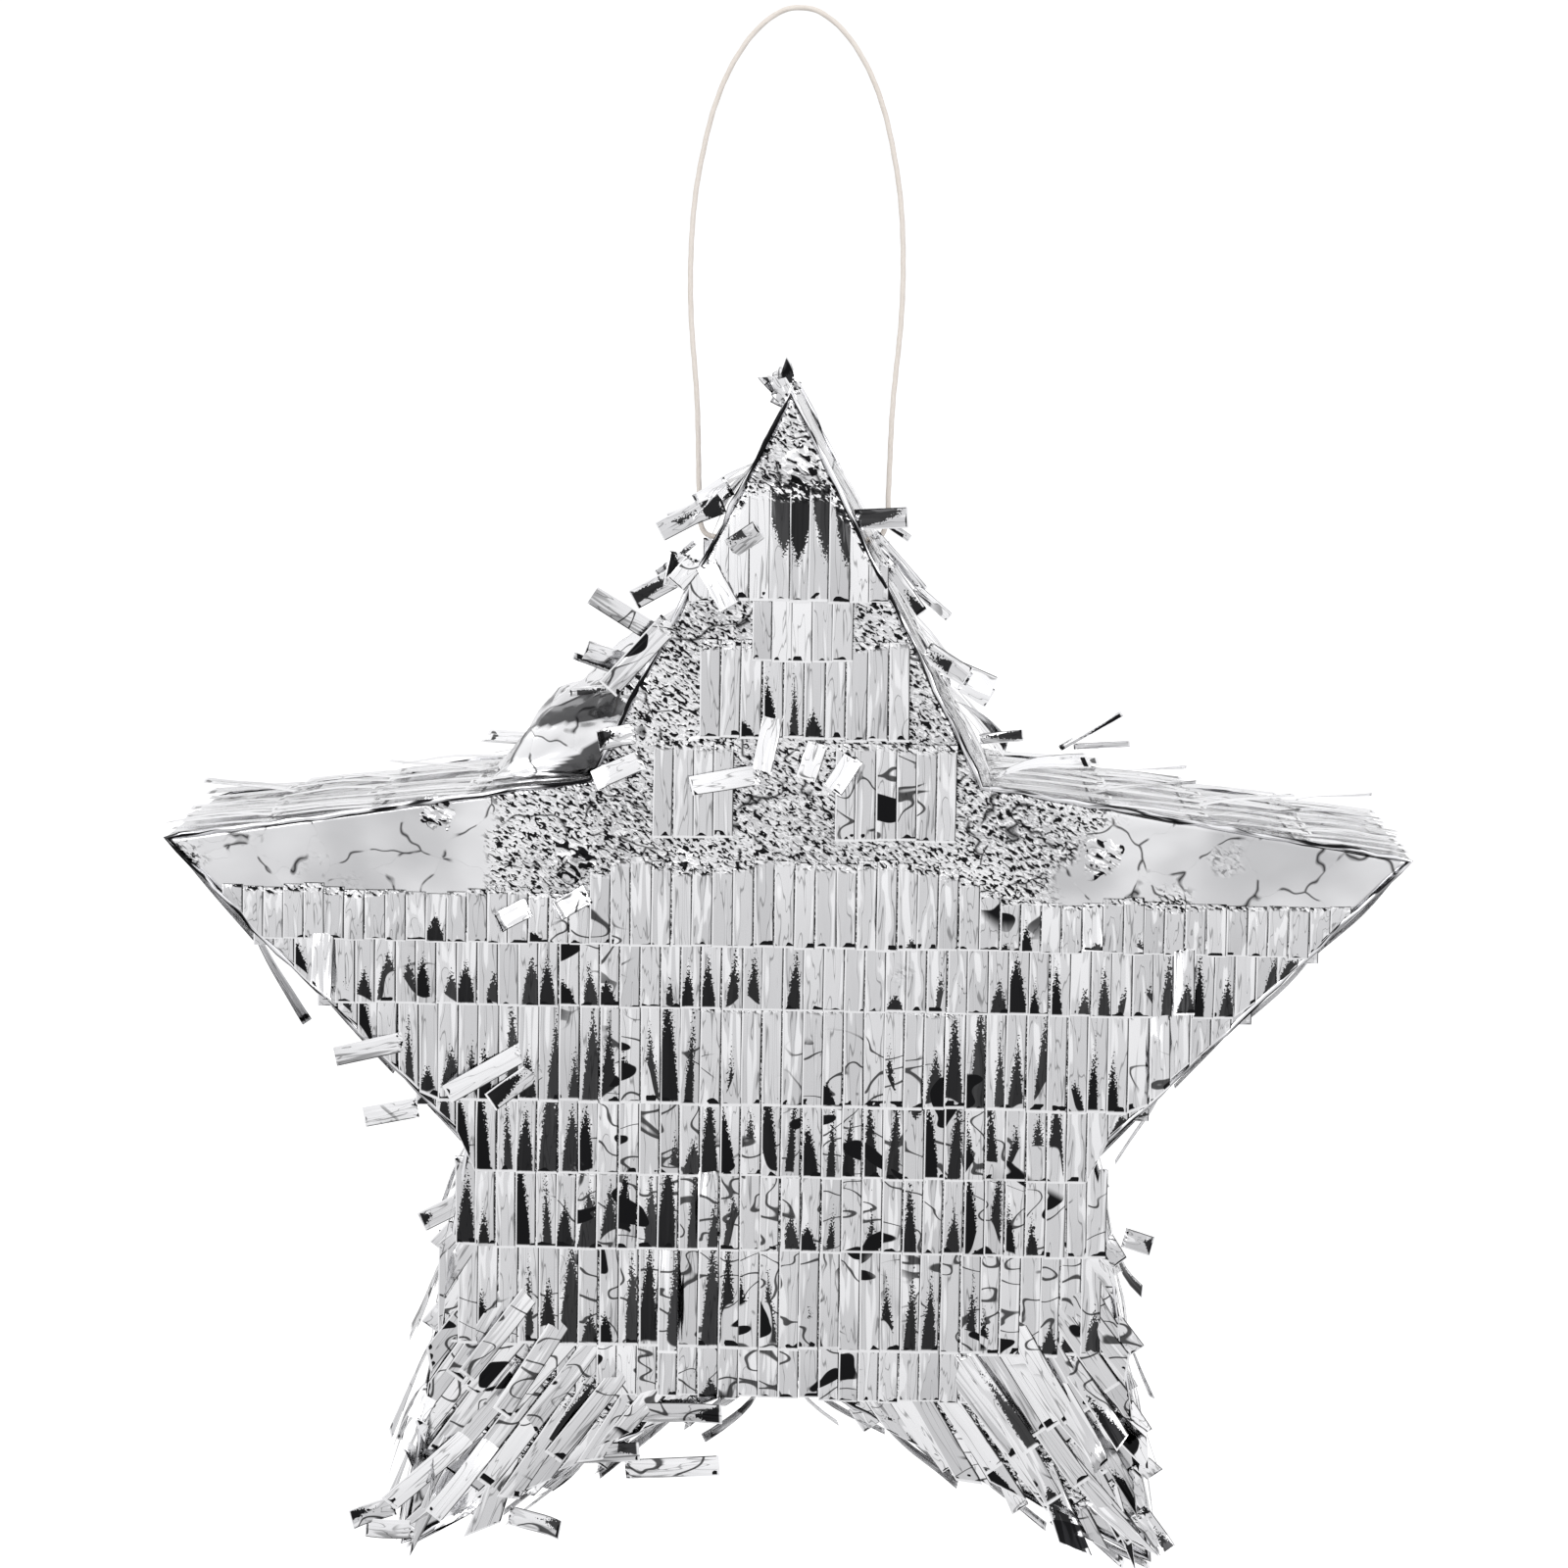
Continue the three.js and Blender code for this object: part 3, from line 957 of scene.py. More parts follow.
class TasselCutter:
    """Adds tassels to one mesh, each as its own small grid with its place in the tassel map."""

    columns = 4
    rows = 8
    most_proud = 10.5 * MM

    def __init__(self) -> None:
        """Starts an empty mesh with the tassel map."""
        self.mesh = bmesh.new()
        self.map = self.mesh.loops.layers.uv.new(TASSEL_MAP)
        self.mood = self.mesh.verts.layers.float.new(PAINTED_REFLECTION_MARK)
        self.count = 0

    def cut(self, ground: Ground, tassel: Tassel) -> None:
        """Adds one tassel.

        Args:
            ground: the face it is glued to.
            tassel: its place and shape.
        """
        made = bmesh.ops.create_grid(self.mesh, x_segments=self.columns, y_segments=self.rows, size=0.5)
        lines = self.centreline(tassel)
        places = {}
        for vertex in made["verts"]:
            across, t = vertex.co.x, vertex.co.y + 0.5
            places[vertex] = (across, t)
            vertex[self.mood] = tassel.mood
            down, out, angle = lines[round(t * self.rows)]
            down += across * (tassel.slants[0] * (1 - t) + tassel.slants[1] * t)
            turn = tassel.twist * t
            side = across * tassel.width
            proud = side * math.sin(turn) + tassel.crown(t) * (1 - 4 * across * across)
            vertex.co = ground.place(
                tassel.across + tassel.sway * t * tassel.length + side * math.cos(turn),
                tassel.start + down - proud * math.sin(angle), tassel.base + out + proud * math.cos(angle)
            )
        for face in {face for vertex in made["verts"] for face in vertex.link_faces}:
            for loop in face.loops:
                across, t = places[loop.vert]
                loop[self.map].uv = (self.count + 0.5 + 0.98 * across, t)
        self.count += 1

    def centreline(self, tassel: Tassel) -> list[tuple[float, float, float]]:
        """Follows a tassel's angle down its length.

        Args:
            tassel: the tassel.

        Returns:
            For each row of its grid, the distance down, the distance out and the angle.
        """
        step = tassel.length / self.rows
        down = out = 0.0
        lines = [(0.0, 0.0, tassel.angle(0.0))]
        for row in range(self.rows):
            middle = tassel.angle((row + 0.5) / self.rows)
            down += math.cos(middle) * step
            out += math.sin(middle) * step
            kept = self.most_proud * math.tanh(out / self.most_proud)
            lines.append((down, kept, tassel.angle((row + 1) / self.rows)))
        return lines


# ---------------------------------------------------------------- fringe


class Posture(Enum):
    """How a tassel hangs, with its likeliest lift, bulge, curl and twist in degrees."""

    CALM = (3.2, 1.2, 0.0, 2.0)
    SWOLLEN = (4.5, 5.0, -3.0, 3.0)
    LIFTED = (14.0, 4.0, 14.0, 14.0)
    CURLED = (8.0, 4.0, 95.0, 25.0)
    WILD = (32.0, 6.0, 22.0, 40.0)


@dataclass(frozen=True)
class RowStyle:
    """How lively a row is: the share of tassels in each posture, their painted dark reflections, the share
    painted white as painted bright reflections, and their sizes.
    """

    swollen: float = 0.12
    lifted: float = 0.01
    curled: float = 0.0
    wild: float = 0.0
    # flamed and flame: the share of tassels given a painted dark reflection and its reach; pale: the share
    # painted white as a painted bright reflection.
    flamed: float = 0.3
    flame: tuple[float, float] = (0.2, 0.6)
    pale: float = 0.0
    overhang: float = 1.2 * MM
    width: float = 5.4 * MM
    sway: float = 0.01

    def pick(self, dice: random.Random) -> Posture:
        """Draws one tassel's posture."""
        draw = dice.random()
        lively = (
            (self.wild, Posture.WILD), (self.curled, Posture.CURLED), (self.lifted, Posture.LIFTED),
            (self.swollen, Posture.SWOLLEN)
        )
        for share, posture in lively:
            if draw < share:
                return posture
            draw -= share
        return Posture.CALM

    def draw_mood(self, dice: random.Random, across: float, seed: float) -> float:
        """Draws how far a tassel's painted dark reflection reaches, or -1 for a tassel painted white as a
        painted bright reflection; the painted dark reflections come in groups.
        """
        draw, height = dice.random(), dice.uniform(*self.flame)
        if dice.random() < self.pale:
            return -1.0
        crowd = 1.0 + 1.5 * noise.noise(Vector((across * 22.0, seed, 0.5)))
        return height * min(1.1, crowd) if draw < self.flamed * crowd else 0.0

    def tassel(self, dice: random.Random, across: float, start: float, length: float, base: float) -> Tassel:
        """Draws one tassel.

        Args:
            dice: the row's own random numbers.
            across: its place along the row.
            start: where its slit starts.
            length: how long it is.
            base: how far its heading stands out of the ground.

        Returns:
            The tassel.
        """
        posture = self.pick(dice)
        lift, bulge, curl, twist = (math.radians(v) for v in posture.value)
        loose = posture in (Posture.LIFTED, Posture.CURLED, Posture.WILD)
        return Tassel(
            across=across + dice.uniform(-0.1, 0.1) * MM, start=start,
            length=length * (dice.uniform(0.96, 1.05) if loose else dice.uniform(0.99, 1.01)),
            width=self.width * dice.uniform(0.94, 1.02), base=base + dice.uniform(0.0, 0.12) * MM,
            lift=lift * dice.uniform(0.8, 1.3), bulge=bulge * dice.uniform(0.5, 1.4),
            curl=curl * dice.uniform(0.6, 1.2), curl_from=dice.uniform(0.3, 0.6),
            twist=twist * dice.uniform(-1.4, 1.4), sway=self.sway * dice.uniform(-1.0, 1.0),
            bow=dice.uniform(0.05, 0.35) * MM,
            mood=self.draw_mood(dice, across, start * 90.0 + length * 700.0)
        )


RAGGED = RowStyle(swollen=0.1, lifted=0.3, curled=0.08, wild=0.35, sway=0.3, flamed=0.4, pale=0.3)


@dataclass(frozen=True)
class RowPatch:
    """A short row that covers only part of the face, measured from the star's centre."""

    left: float
    right: float
    top: float
    bottom: float


@dataclass
class FaceFringe:
    """The rows of tassels across the front or the back face."""

    star: Star
    front: bool
    styles: tuple[RowStyle, ...] = (
        RowStyle(swollen=0.3, flamed=0.3, flame=(0.3, 0.8), lifted=0.04, pale=0.6),
        RowStyle(flamed=0.12, lifted=0.02), RowStyle(flamed=0.08, lifted=0.02),
        RowStyle(flamed=0.16, flame=(0.06, 0.5)), RowStyle(flamed=0.62, flame=(0.3, 0.7)),
        RowStyle(flamed=0.85, flame=(0.4, 0.95), lifted=0.02), RowStyle(flamed=0.88, flame=(0.5, 1.2)),
        RowStyle(flamed=0.85, flame=(0.4, 1.1), lifted=0.015),
        RowStyle(flamed=0.6, flame=(0.25, 0.9), lifted=0.03),
        RowStyle(flamed=0.15, flame=(0.1, 0.4), lifted=0.06, pale=0.1, overhang=3 * MM)
    )
    leg_style: RowStyle = RowStyle(
        swollen=0.2, lifted=0.16, curled=0.03, sway=0.1, flamed=0.24, flame=(0.2, 0.8), pale=0.15,
        overhang=3 * MM
    )
    foot_style: RowStyle = RowStyle(
        swollen=0.2, lifted=0.3, curled=0.12, wild=0.1, sway=0.3, flamed=0.2, flame=(0.2, 0.8), pale=0.3,
        overhang=4 * MM
    )
    # dark_heads and head_moods: where the crown's tassels get painted dark reflections over their upper
    # parts, and how far these reach.
    dark_heads: tuple[float, float] = (-6 * MM, 17 * MM)
    head_moods: tuple[float, float] = (1.45, 1.7)
    front_spans: tuple[tuple[int, float, float], ...] = ((1, -23 * MM, 32 * MM), (2, -35 * MM, 45 * MM))
    front_gap: tuple[float, float] = (-14 * MM, 12.5 * MM)
    under_patch: RowPatch = RowPatch(left=-9.5 * MM, right=17 * MM, top=125 * MM, bottom=104.5 * MM)
    arm_start: float = 41 * MM
    arm_from: float = 66 * MM
    arm_drop: float = 15 * MM
    arm_blend: float = 30 * MM
    arm_uneven: float = 3 * MM
    third_row: tuple[float, float] = (-90 * MM, -70 * MM)
    leg_width: float = 96 * MM
    leg_rows: tuple[tuple[float, float], ...] = ((92 * MM, 124 * MM), (112 * MM, 143 * MM))
    foot_rows: tuple[tuple[float, float], ...] = ((133 * MM, 160 * MM), (149 * MM, 172 * MM))
    heading_height: float = 0.95 * MM
    shortest: float = 4 * MM
    pace: float = 0.5 * MM

    @property
    def label(self) -> str:
        """The face's name in its nodes' names."""
        return "front" if self.front else "back"

    def stretch(self, ground: Ground, across: float, start: float, end: float) -> tuple[float, float] | None:
        """Finds where a line down the face lies over the star.

        Args:
            ground: the face and the way the line runs.
            across: the line's place along the row.
            start: the row's heading.
            end: the row's free ends.

        Returns:
            Where the line comes onto the star and where it leaves it, or None where it misses the star.
        """
        found = []
        for i in range(int((end - start) / self.pace) + 1):
            point = ground.place(across, start + i * self.pace, 0.0) - self.star.centre
            if self.star.holds(point.x, point.z):
                found.append(start + i * self.pace)
            elif found:
                break
        if not found or found[-1] - found[0] < 1 * MM:
            return None
        return found[0], end if found[-1] > end - 1 * MM else found[-1]

    def trimmed(self, ground: Ground, drawn: Tassel, end: float, overhang: float) -> Tassel | None:
        """Cuts a tassel along the star's edges, where it crosses them.

        Args:
            ground: the face and the way the tassel hangs.
            drawn: the whole tassel.
            end: the row's free ends.
            overhang: how far past the star's edge it may hang.

        Returns:
            The trimmed tassel, or None where too little of it is left.
        """
        half = drawn.width * 0.48
        lines = [self.stretch(ground, drawn.across + side, drawn.start, end) for side in (-half, half)]
        kept = [line for line in lines if line]
        if not kept:
            return None
        left, right = (line or kept[0] for line in lines)
        starts = ((left[0] + right[0]) / 2, right[0] - left[0])
        ends = ((left[1] + right[1]) / 2, right[1] - left[1])
        reaches_end = left[1] == right[1] == end
        length = ends[0] - starts[0] + (drawn.length - (end - drawn.start) if reaches_end else overhang)
        if length < self.shortest:
            return None
        return replace(drawn, start=starts[0], length=length, slants=(starts[1], ends[1]))

    def build_row(self, index: int, style: RowStyle) -> bpy.types.Object:
        """Makes one row across the face.

        Args:
            index: the row's number, from 0 at the top.
            style: how its tassels hang.

        Returns:
            The row's piece.
        """
        node = f"{self.label}_fringe_{index + 1:02d}"
        low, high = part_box(node)
        dice = random.Random(node)
        cutter = TasselCutter()
        if self.front and index == 0:
            patch = self.under_patch
            self.cut_row(cutter, dice, style, (patch.left, patch.right), (-patch.top, -patch.bottom), False)
        span = (low.x, high.x)
        for row, left, right in self.front_spans:
            if self.front and row == index:
                span = (left, right)
        ends = (self.star.centre.z - high.z, self.star.centre.z - low.z)
        self.cut_row(cutter, dice, style, span, ends, index == len(self.styles) - 1)
        return finish_piece(cutter.mesh, f"{node}_tassels", "star", node)

    def cut_row(
        self, cutter: TasselCutter, dice: random.Random, style: RowStyle, span: tuple[float, float],
        ends: tuple[float, float], hangs_over: bool
    ) -> None:
        """Cuts the tassels of one row.

        Args:
            cutter: what they are added to.
            dice: the row's random numbers.
            style: how they hang.
            span: the row's left and right ends.
            ends: its heading and its free ends, measured down from the star's centre.
            hangs_over: whether it may reach past the star's edge.
        """
        ground = self.star.face(self.front)
        start, end = ends
        for x in spread(*span, style.width):
            across = -x if self.front else x
            heading = self.heading(x, start)
            length = end - heading + style.overhang * dice.uniform(0.6, 1.0)
            tassel = style.tassel(dice, across, heading, length, self.heading_height)
            if not hangs_over:
                tassel = self.trimmed(ground, tassel, end, dice.uniform(0.0, 1.2) * MM)
            in_crown = self.front and end < -self.under_patch.bottom
            # Painted dark reflections over the upper parts of the crown's tassels.
            if tassel and in_crown and self.dark_heads[0] < x < self.dark_heads[1]:
                tassel = replace(tassel, mood=dice.uniform(*self.head_moods))
            if tassel and not self.left_bare(start, x):
                cutter.cut(ground, tassel)

    def heading(self, x: float, start: float) -> float:
        """Finds where a tassel's slit starts: lower and unevenly on the side arms, in the first body row.

        Args:
            x: the tassel's place along the row.
            start: the row's own heading.

        Returns:
            The slit's start.
        """
        drop = -self.arm_start - start
        if not 0.0 < drop < self.arm_drop:
            return start
        uneven = self.arm_uneven * noise.noise(Vector((x * 60.0, 3.1, 0.0)))
        return start + uneven + drop * smoothstep(self.arm_from - self.arm_blend, self.arm_from, abs(x))

    def left_bare(self, start: float, x: float) -> bool:
        """Says whether the sheet was left uncut there: the front's third row is bare in the middle."""
        in_third = self.third_row[0] < start < self.third_row[1]
        return self.front and in_third and self.front_gap[0] < x < self.front_gap[1]

    def build_leg(self, side: int, number: int) -> bpy.types.Object:
        """Makes the rows of tassels across a leg that one CAD node stands for.

        Args:
            side: -1 for the leg on the left as seen from the front, 1 for the right.
            number: 1 for the upper rows and 2 for the foot's.

        Returns:
            The rows' piece.
        """
        leg = "left" if (side < 0) == self.front else "right"
        node = f"{self.label}_{leg}_leg_fringe_{number}"
        dice = random.Random(node)
        ground = self.star.leg(self.front, side)
        cutter = TasselCutter()
        upper = number == 1
        style, rows = (self.leg_style, self.leg_rows) if upper else (self.foot_style, self.foot_rows)
        count = round(self.leg_width / style.width)
        for layer, (start, end) in enumerate(rows):
            for i in range(count):
                across = (i - (count - 1) / 2) * style.width
                length = end - start + style.overhang * dice.uniform(0.3, 1.6)
                base = self.heading_height + 0.3 * MM * layer
                drawn = style.tassel(dice, across, start, length, base)
                tassel = self.trimmed(ground, drawn, end, dice.uniform(1.0, 6.0) * MM)
                if tassel:
                    cutter.cut(ground, tassel)
        return finish_piece(cutter.mesh, f"{node}_tassels", "star", node)

    def build(self, wardrobe: Wardrobe) -> None:
        """Makes and dresses every row of the face.

        Args:
            wardrobe: the finishes.
        """
        pieces = [self.build_row(i, style) for i, style in enumerate(self.styles)]
        pieces += [self.build_leg(side, number) for side in (-1, 1) for number in (1, 2)]
        for piece in pieces:
            wardrobe.dress(piece, Finish.TASSEL)


@dataclass
class SideFringe:
    """The overlapping rows of tassels down the ten side faces."""

    star: Star
    names: tuple[str, ...] = (
        "top_arm_right", "right_arm_top", "right_arm_under", "right_leg_outer", "right_leg_inner",
        "left_leg_inner", "left_leg_outer", "left_arm_under", "left_arm_top", "top_arm_left"
    )
    pitch: float = 24 * MM
    margin: float = 3 * MM
    lap: float = 6 * MM
    bare_tip: float = 22 * MM
    hole_distance: float = 43.7 * MM
    cord_gap: float = 4 * MM
    cord_room: float = 5 * MM
    shortest: float = 6 * MM
    base: float = 1 * MM
    style: RowStyle = RowStyle(swollen=0.2, lifted=0.14, curled=0.01, sway=0.06, flamed=0.25, pale=0.3)
    flat_style: RowStyle = RowStyle(swollen=0.1, lifted=0.0, sway=0.04, flamed=0.4, pale=0.3)
    # top_style paints most tassels white, painted bright reflections on the arms' upward faces.
    top_style: RowStyle = RowStyle(swollen=0.2, lifted=0.08, wild=0.01, sway=0.05, flamed=0.12, pale=0.75)
    splayed_style: RowStyle = RowStyle(swollen=0.2, lifted=0.35, wild=0.06, sway=0.12, flamed=0.3, pale=0.3)

    def rows(self, index: int, length: float) -> list[tuple[float, float]]:
        """Lists where each row starts and ends down a side face.

        Args:
            index: which face.
            length: the face's length.

        Returns:
            The rows' starts and ends.
        """
        name = self.names[index]
        if name == "top_arm_left":
            return [(self.bare_tip, self.hole_distance - 6 * MM), (self.hole_distance + 4 * MM, 59 * MM)]
        start = self.bare_tip if name == "top_arm_right" else self.margin
        end = length - self.margin
        count = max(1, round((end - start) / self.pitch))
        pitch = (end - start) / count
        return [(start + i * pitch, start + (i + 1) * pitch) for i in range(count)]

    def style_of(self, name: str) -> RowStyle:
        """Picks how the tassels hang on a side face."""
        if name == "top_arm_left":
            return RAGGED
        if name in ("left_arm_top", "right_arm_top"):
            return self.top_style
        if name in ("top_arm_right", "left_leg_inner", "right_leg_inner", "left_leg_outer"):
            return self.splayed_style
        return self.style

    def build_face(self, index: int) -> bpy.types.Object:
        """Makes the rows down one side face.

        Args:
            index: which face.

        Returns:
            The face's piece.
        """
        name = self.names[index]
        node = f"{name}_fringe"
        dice = random.Random(node)
        ground, length = self.star.side(index)
        style = self.style_of(name)
        half = self.star.half_depth
        over_flap = name == "top_arm_left"
        cutter = TasselCutter()
        for start, end in self.rows(index, length):
            past_hole = end + self.lap > self.hole_distance
            near_loop = name.startswith("top_arm") and start - self.cord_room < self.hole_distance
            flat = near_loop and past_hole or over_flap and start > self.bare_tip
            row_style = self.flat_style if flat else style
            for across in spread(-half, half, style.width):
                reach = end + self.lap * dice.uniform(0.3, 1.0)
                if over_flap and end > self.hole_distance:
                    reach = end + 1 * MM
                if abs(across) < self.cord_gap and start < self.hole_distance and past_hole:
                    reach = self.hole_distance - 3 * MM
                if reach - start >= self.shortest:
                    cutter.cut(ground, row_style.tassel(dice, across, start, reach - start, self.base))
        return finish_piece(cutter.mesh, f"{node}_tassels", "star", node)

    def build(self, wardrobe: Wardrobe) -> None:
        """Makes and dresses every side face's rows.

        Args:
            wardrobe: the finishes.
        """
        for index in range(len(self.names)):
            wardrobe.dress(self.build_face(index), Finish.TASSEL)


# ---------------------------------------------------------------- skins


@dataclass
class FoilSkins:
    """The foils glued over the front, the back and the walls."""

    star: Star
    cuts: int = 44
    proud: float = 0.5 * MM
    dent: float = 1.1 * MM
    rim: float = 8.3 * MM
    rim_steps: int = 3
    seam_steps: int = 24
    seam_out: float = 0.9 * MM
    seam_wander: tuple[float, float, float] = (0.3, 0.2, 0.3)

    def dented(self, point: Vector) -> float:
        """How far the foil stands off the board at a point: more on the bare arms than under the fringe."""
        broad = noise.noise(point * 38.0)
        narrow = noise.turbulence(point * 120.0, 2, False)
        return self.dent * self.bareness(point) * max(0.0, 0.55 * broad + 0.35 * narrow)

    def bareness(self, point: Vector) -> float:
        """Returns 1 where no fringe covers the foil, as on the side arms' upper parts, and 0.2 elsewhere."""
        place = point - self.star.centre
        beside = smoothstep(48 * MM, 62 * MM, abs(place.x))
        return 0.2 + 0.8 * beside * smoothstep(40 * MM, 50 * MM, place.z)

    def wornness(self, point: Vector) -> float:
        """Returns 1 in the middle, where handling has wrinkled the foil, and 0 on the arms and legs."""
        return 1.0 - smoothstep(50 * MM, 95 * MM, abs(point.x - self.star.centre.x))

    def build_face(self, front: bool) -> bpy.types.Object:
        """Makes the foil over one face, with its rim folded over the walls.

        Args:
            front: whether it is the front's.

        Returns:
            The foil's piece.
        """
        ground = self.star.face(front)
        mesh = bmesh.new()
        ring = bmesh.ops.create_circle(
            mesh, cap_ends=True, segments=2 * self.star.arm_count, radius=1.0
        )["verts"]
        for vertex, point in zip(ring, self.star.outline(0.6 * MM)):
            vertex.co = self.star.centre + point + ground.out * (self.star.half_depth + self.proud)
        bmesh.ops.poke(mesh, faces=mesh.faces[:])
        bmesh.ops.subdivide_edges(mesh, edges=mesh.edges[:], cuts=self.cuts, use_grid_fill=True)
        worn = mesh.verts.layers.float.new(WORN_MARK)
        for vertex in mesh.verts:
            vertex[worn] = self.wornness(vertex.co)
            if not vertex.is_boundary:
                vertex.co += ground.out * self.dented(vertex.co)
        edge = [e for e in mesh.edges if e.is_boundary]
        for _ in range(self.rim_steps):
            grown = bmesh.ops.extrude_edge_only(mesh, edges=edge)["geom"]
            moved = [v for v in grown if isinstance(v, bmesh.types.BMVert)]
            bmesh.ops.translate(mesh, verts=moved, vec=ground.out * (-self.rim / self.rim_steps))
            edge = [e for e in grown if isinstance(e, bmesh.types.BMEdge)]
        bmesh.ops.recalc_face_normals(mesh, faces=mesh.faces[:])
        node = "front_foil" if front else "back_foil"
        return finish_piece(mesh, f"{node}_skin", "star", node)

    def build_seam(self, front: bool) -> bpy.types.Object:
        """Makes the tight roll of foil along a face's edge.

        Args:
            front: whether it is the front's.

        Returns:
            The seam's piece.
        """
        ground = self.star.face(front)
        dice = random.Random(f"seam {front}")
        path = []
        outline = self.star.outline(0.7 * MM)
        for a, b in zip(outline, outline[1:] + outline[:1]):
            for i in range(self.seam_steps):
                wander = Vector([dice.uniform(-reach, reach) for reach in self.seam_wander]) * MM
                place = ground.origin + a.lerp(b, i / self.seam_steps)
                path.append(place + ground.out * self.seam_out + wander)
        radii = [dice.uniform(0.45, 0.95) * MM for _ in path]
        mesh = sweep_tube(path, radii, sides=6, closed=True)
        return finish_piece(mesh, f"{'front' if front else 'back'}_edge_roll", "star")

    def build(self, wardrobe: Wardrobe) -> None:
        """Makes and dresses the skins and the edge rolls.

        Args:
            wardrobe: the finishes.
        """
        for front in (True, False):
            wardrobe.dress(self.build_face(front), Finish.SKIN)
            wardrobe.dress(self.build_seam(front), Finish.ROLL)
        wardrobe.dress(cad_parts["side_foil"], Finish.SKIN)


def sweep_tube(
    path: list[Vector], radii: list[float], sides: int, closed: bool = False, lobes: int = 0,
    pitch: float = 1.0
) -> bmesh.types.BMesh:
    """Sweeps a ring along a path.

    Args:
        path: the ring centres, in order.
        radii: the ring's radius at each centre.
        sides: how many points a ring has.
        closed: whether the last ring joins the first.
        lobes: how many plies bulge out of the ring, or 0 for a plain one.
        pitch: the length over which the plies turn once.

    Returns:
        The tube, with u round it and v along it in the cord map.
    """
    mesh = bmesh.new()
    layer = mesh.loops.layers.uv.new(CORD_MAP)
    frames = ring_frames(path, closed)
    rings = []
    travelled = 0.0
    lengths = []
    for i, (centre, (normal, side)) in enumerate(zip(path, frames)):
        if i:
            travelled += (centre - path[i - 1]).length
        lengths.append(travelled)
        ring = bmesh.ops.create_circle(mesh, cap_ends=False, segments=sides, radius=1.0)["verts"]
        for j, vertex in enumerate(ring):
            angle = 2 * math.pi * j / sides
            swell = 1.0
            if lobes:
                swell = 0.95 + 0.06 * math.cos(lobes * (angle - 2 * math.pi * travelled / pitch))
            vertex.co = centre + (normal * math.cos(angle) + side * math.sin(angle)) * (radii[i] * swell)
        rings.append(ring)
    pairs = list(zip(rings, rings[1:])) + ([(rings[-1], rings[0])] if closed else [])
    for number, (near, far) in enumerate(pairs):
        near_edges = ring_edges(near)
        far_edges = ring_edges(far)
        made = bmesh.ops.bridge_loops(mesh, edges=near_edges + far_edges)["faces"]
        place = {v: (j, 0) for j, v in enumerate(near)} | {v: (j, 1) for j, v in enumerate(far)}
        ends = (lengths[number], lengths[number] + (path[(number + 1) % len(path)] - path[number]).length)
        for face in made:
            columns = [place[loop.vert][0] for loop in face.loops]
            wrapped = max(columns) - min(columns) > sides / 2
            for loop in face.loops:
                column, which = place[loop.vert]
                if wrapped and column == 0:
                    column = sides
                loop[layer].uv = (column / sides, ends[which])
    if not closed:
        for ring in (rings[0], rings[-1]):
            bmesh.ops.contextual_create(mesh, geom=list(ring))
    bmesh.ops.recalc_face_normals(mesh, faces=mesh.faces[:])
    return mesh


def ring_edges(ring: list[bmesh.types.BMVert]) -> list[bmesh.types.BMEdge]:
    """Finds the edges of one ring."""
    inside = set(ring)
    return list({edge for vertex in ring for edge in vertex.link_edges if edge.other_vert(vertex) in inside})


def ring_frames(path: list[Vector], closed: bool) -> list[tuple[Vector, Vector]]:
    """Carries a pair of directions along a path without twisting.

    Args:
        path: the ring centres.
        closed: whether the path joins up.

    Returns:
        The two directions across the path at each centre.
    """
    tangents = []
    for i in range(len(path)):
        before = path[i - 1] if i or closed else path[0]
        after = path[(i + 1) % len(path)] if i + 1 < len(path) or closed else path[-1]
        tangents.append((after - before).normalized())
    normal = tangents[0].orthogonal().normalized()
    frames = []
    for tangent in tangents:
        normal = (normal - tangent * normal.dot(tangent)).normalized()
        frames.append((normal, tangent.cross(normal)))
    return frames


# ---------------------------------------------------------------- strays


@dataclass(frozen=True)
class Strip:
    """A loose strip, measured from the star's centre in millimetres and degrees."""

    x: float
    z: float
    turn: float
    length: float
    lift: float = 24.0
    curl: float = 0.0
    twist: float = 0.0
    # mood: painted reflection as for a tassel; -1 paints the strip white as a painted bright reflection.
    mood: float = -1.0
    width: float = 5.4
    depth: float = 0.0


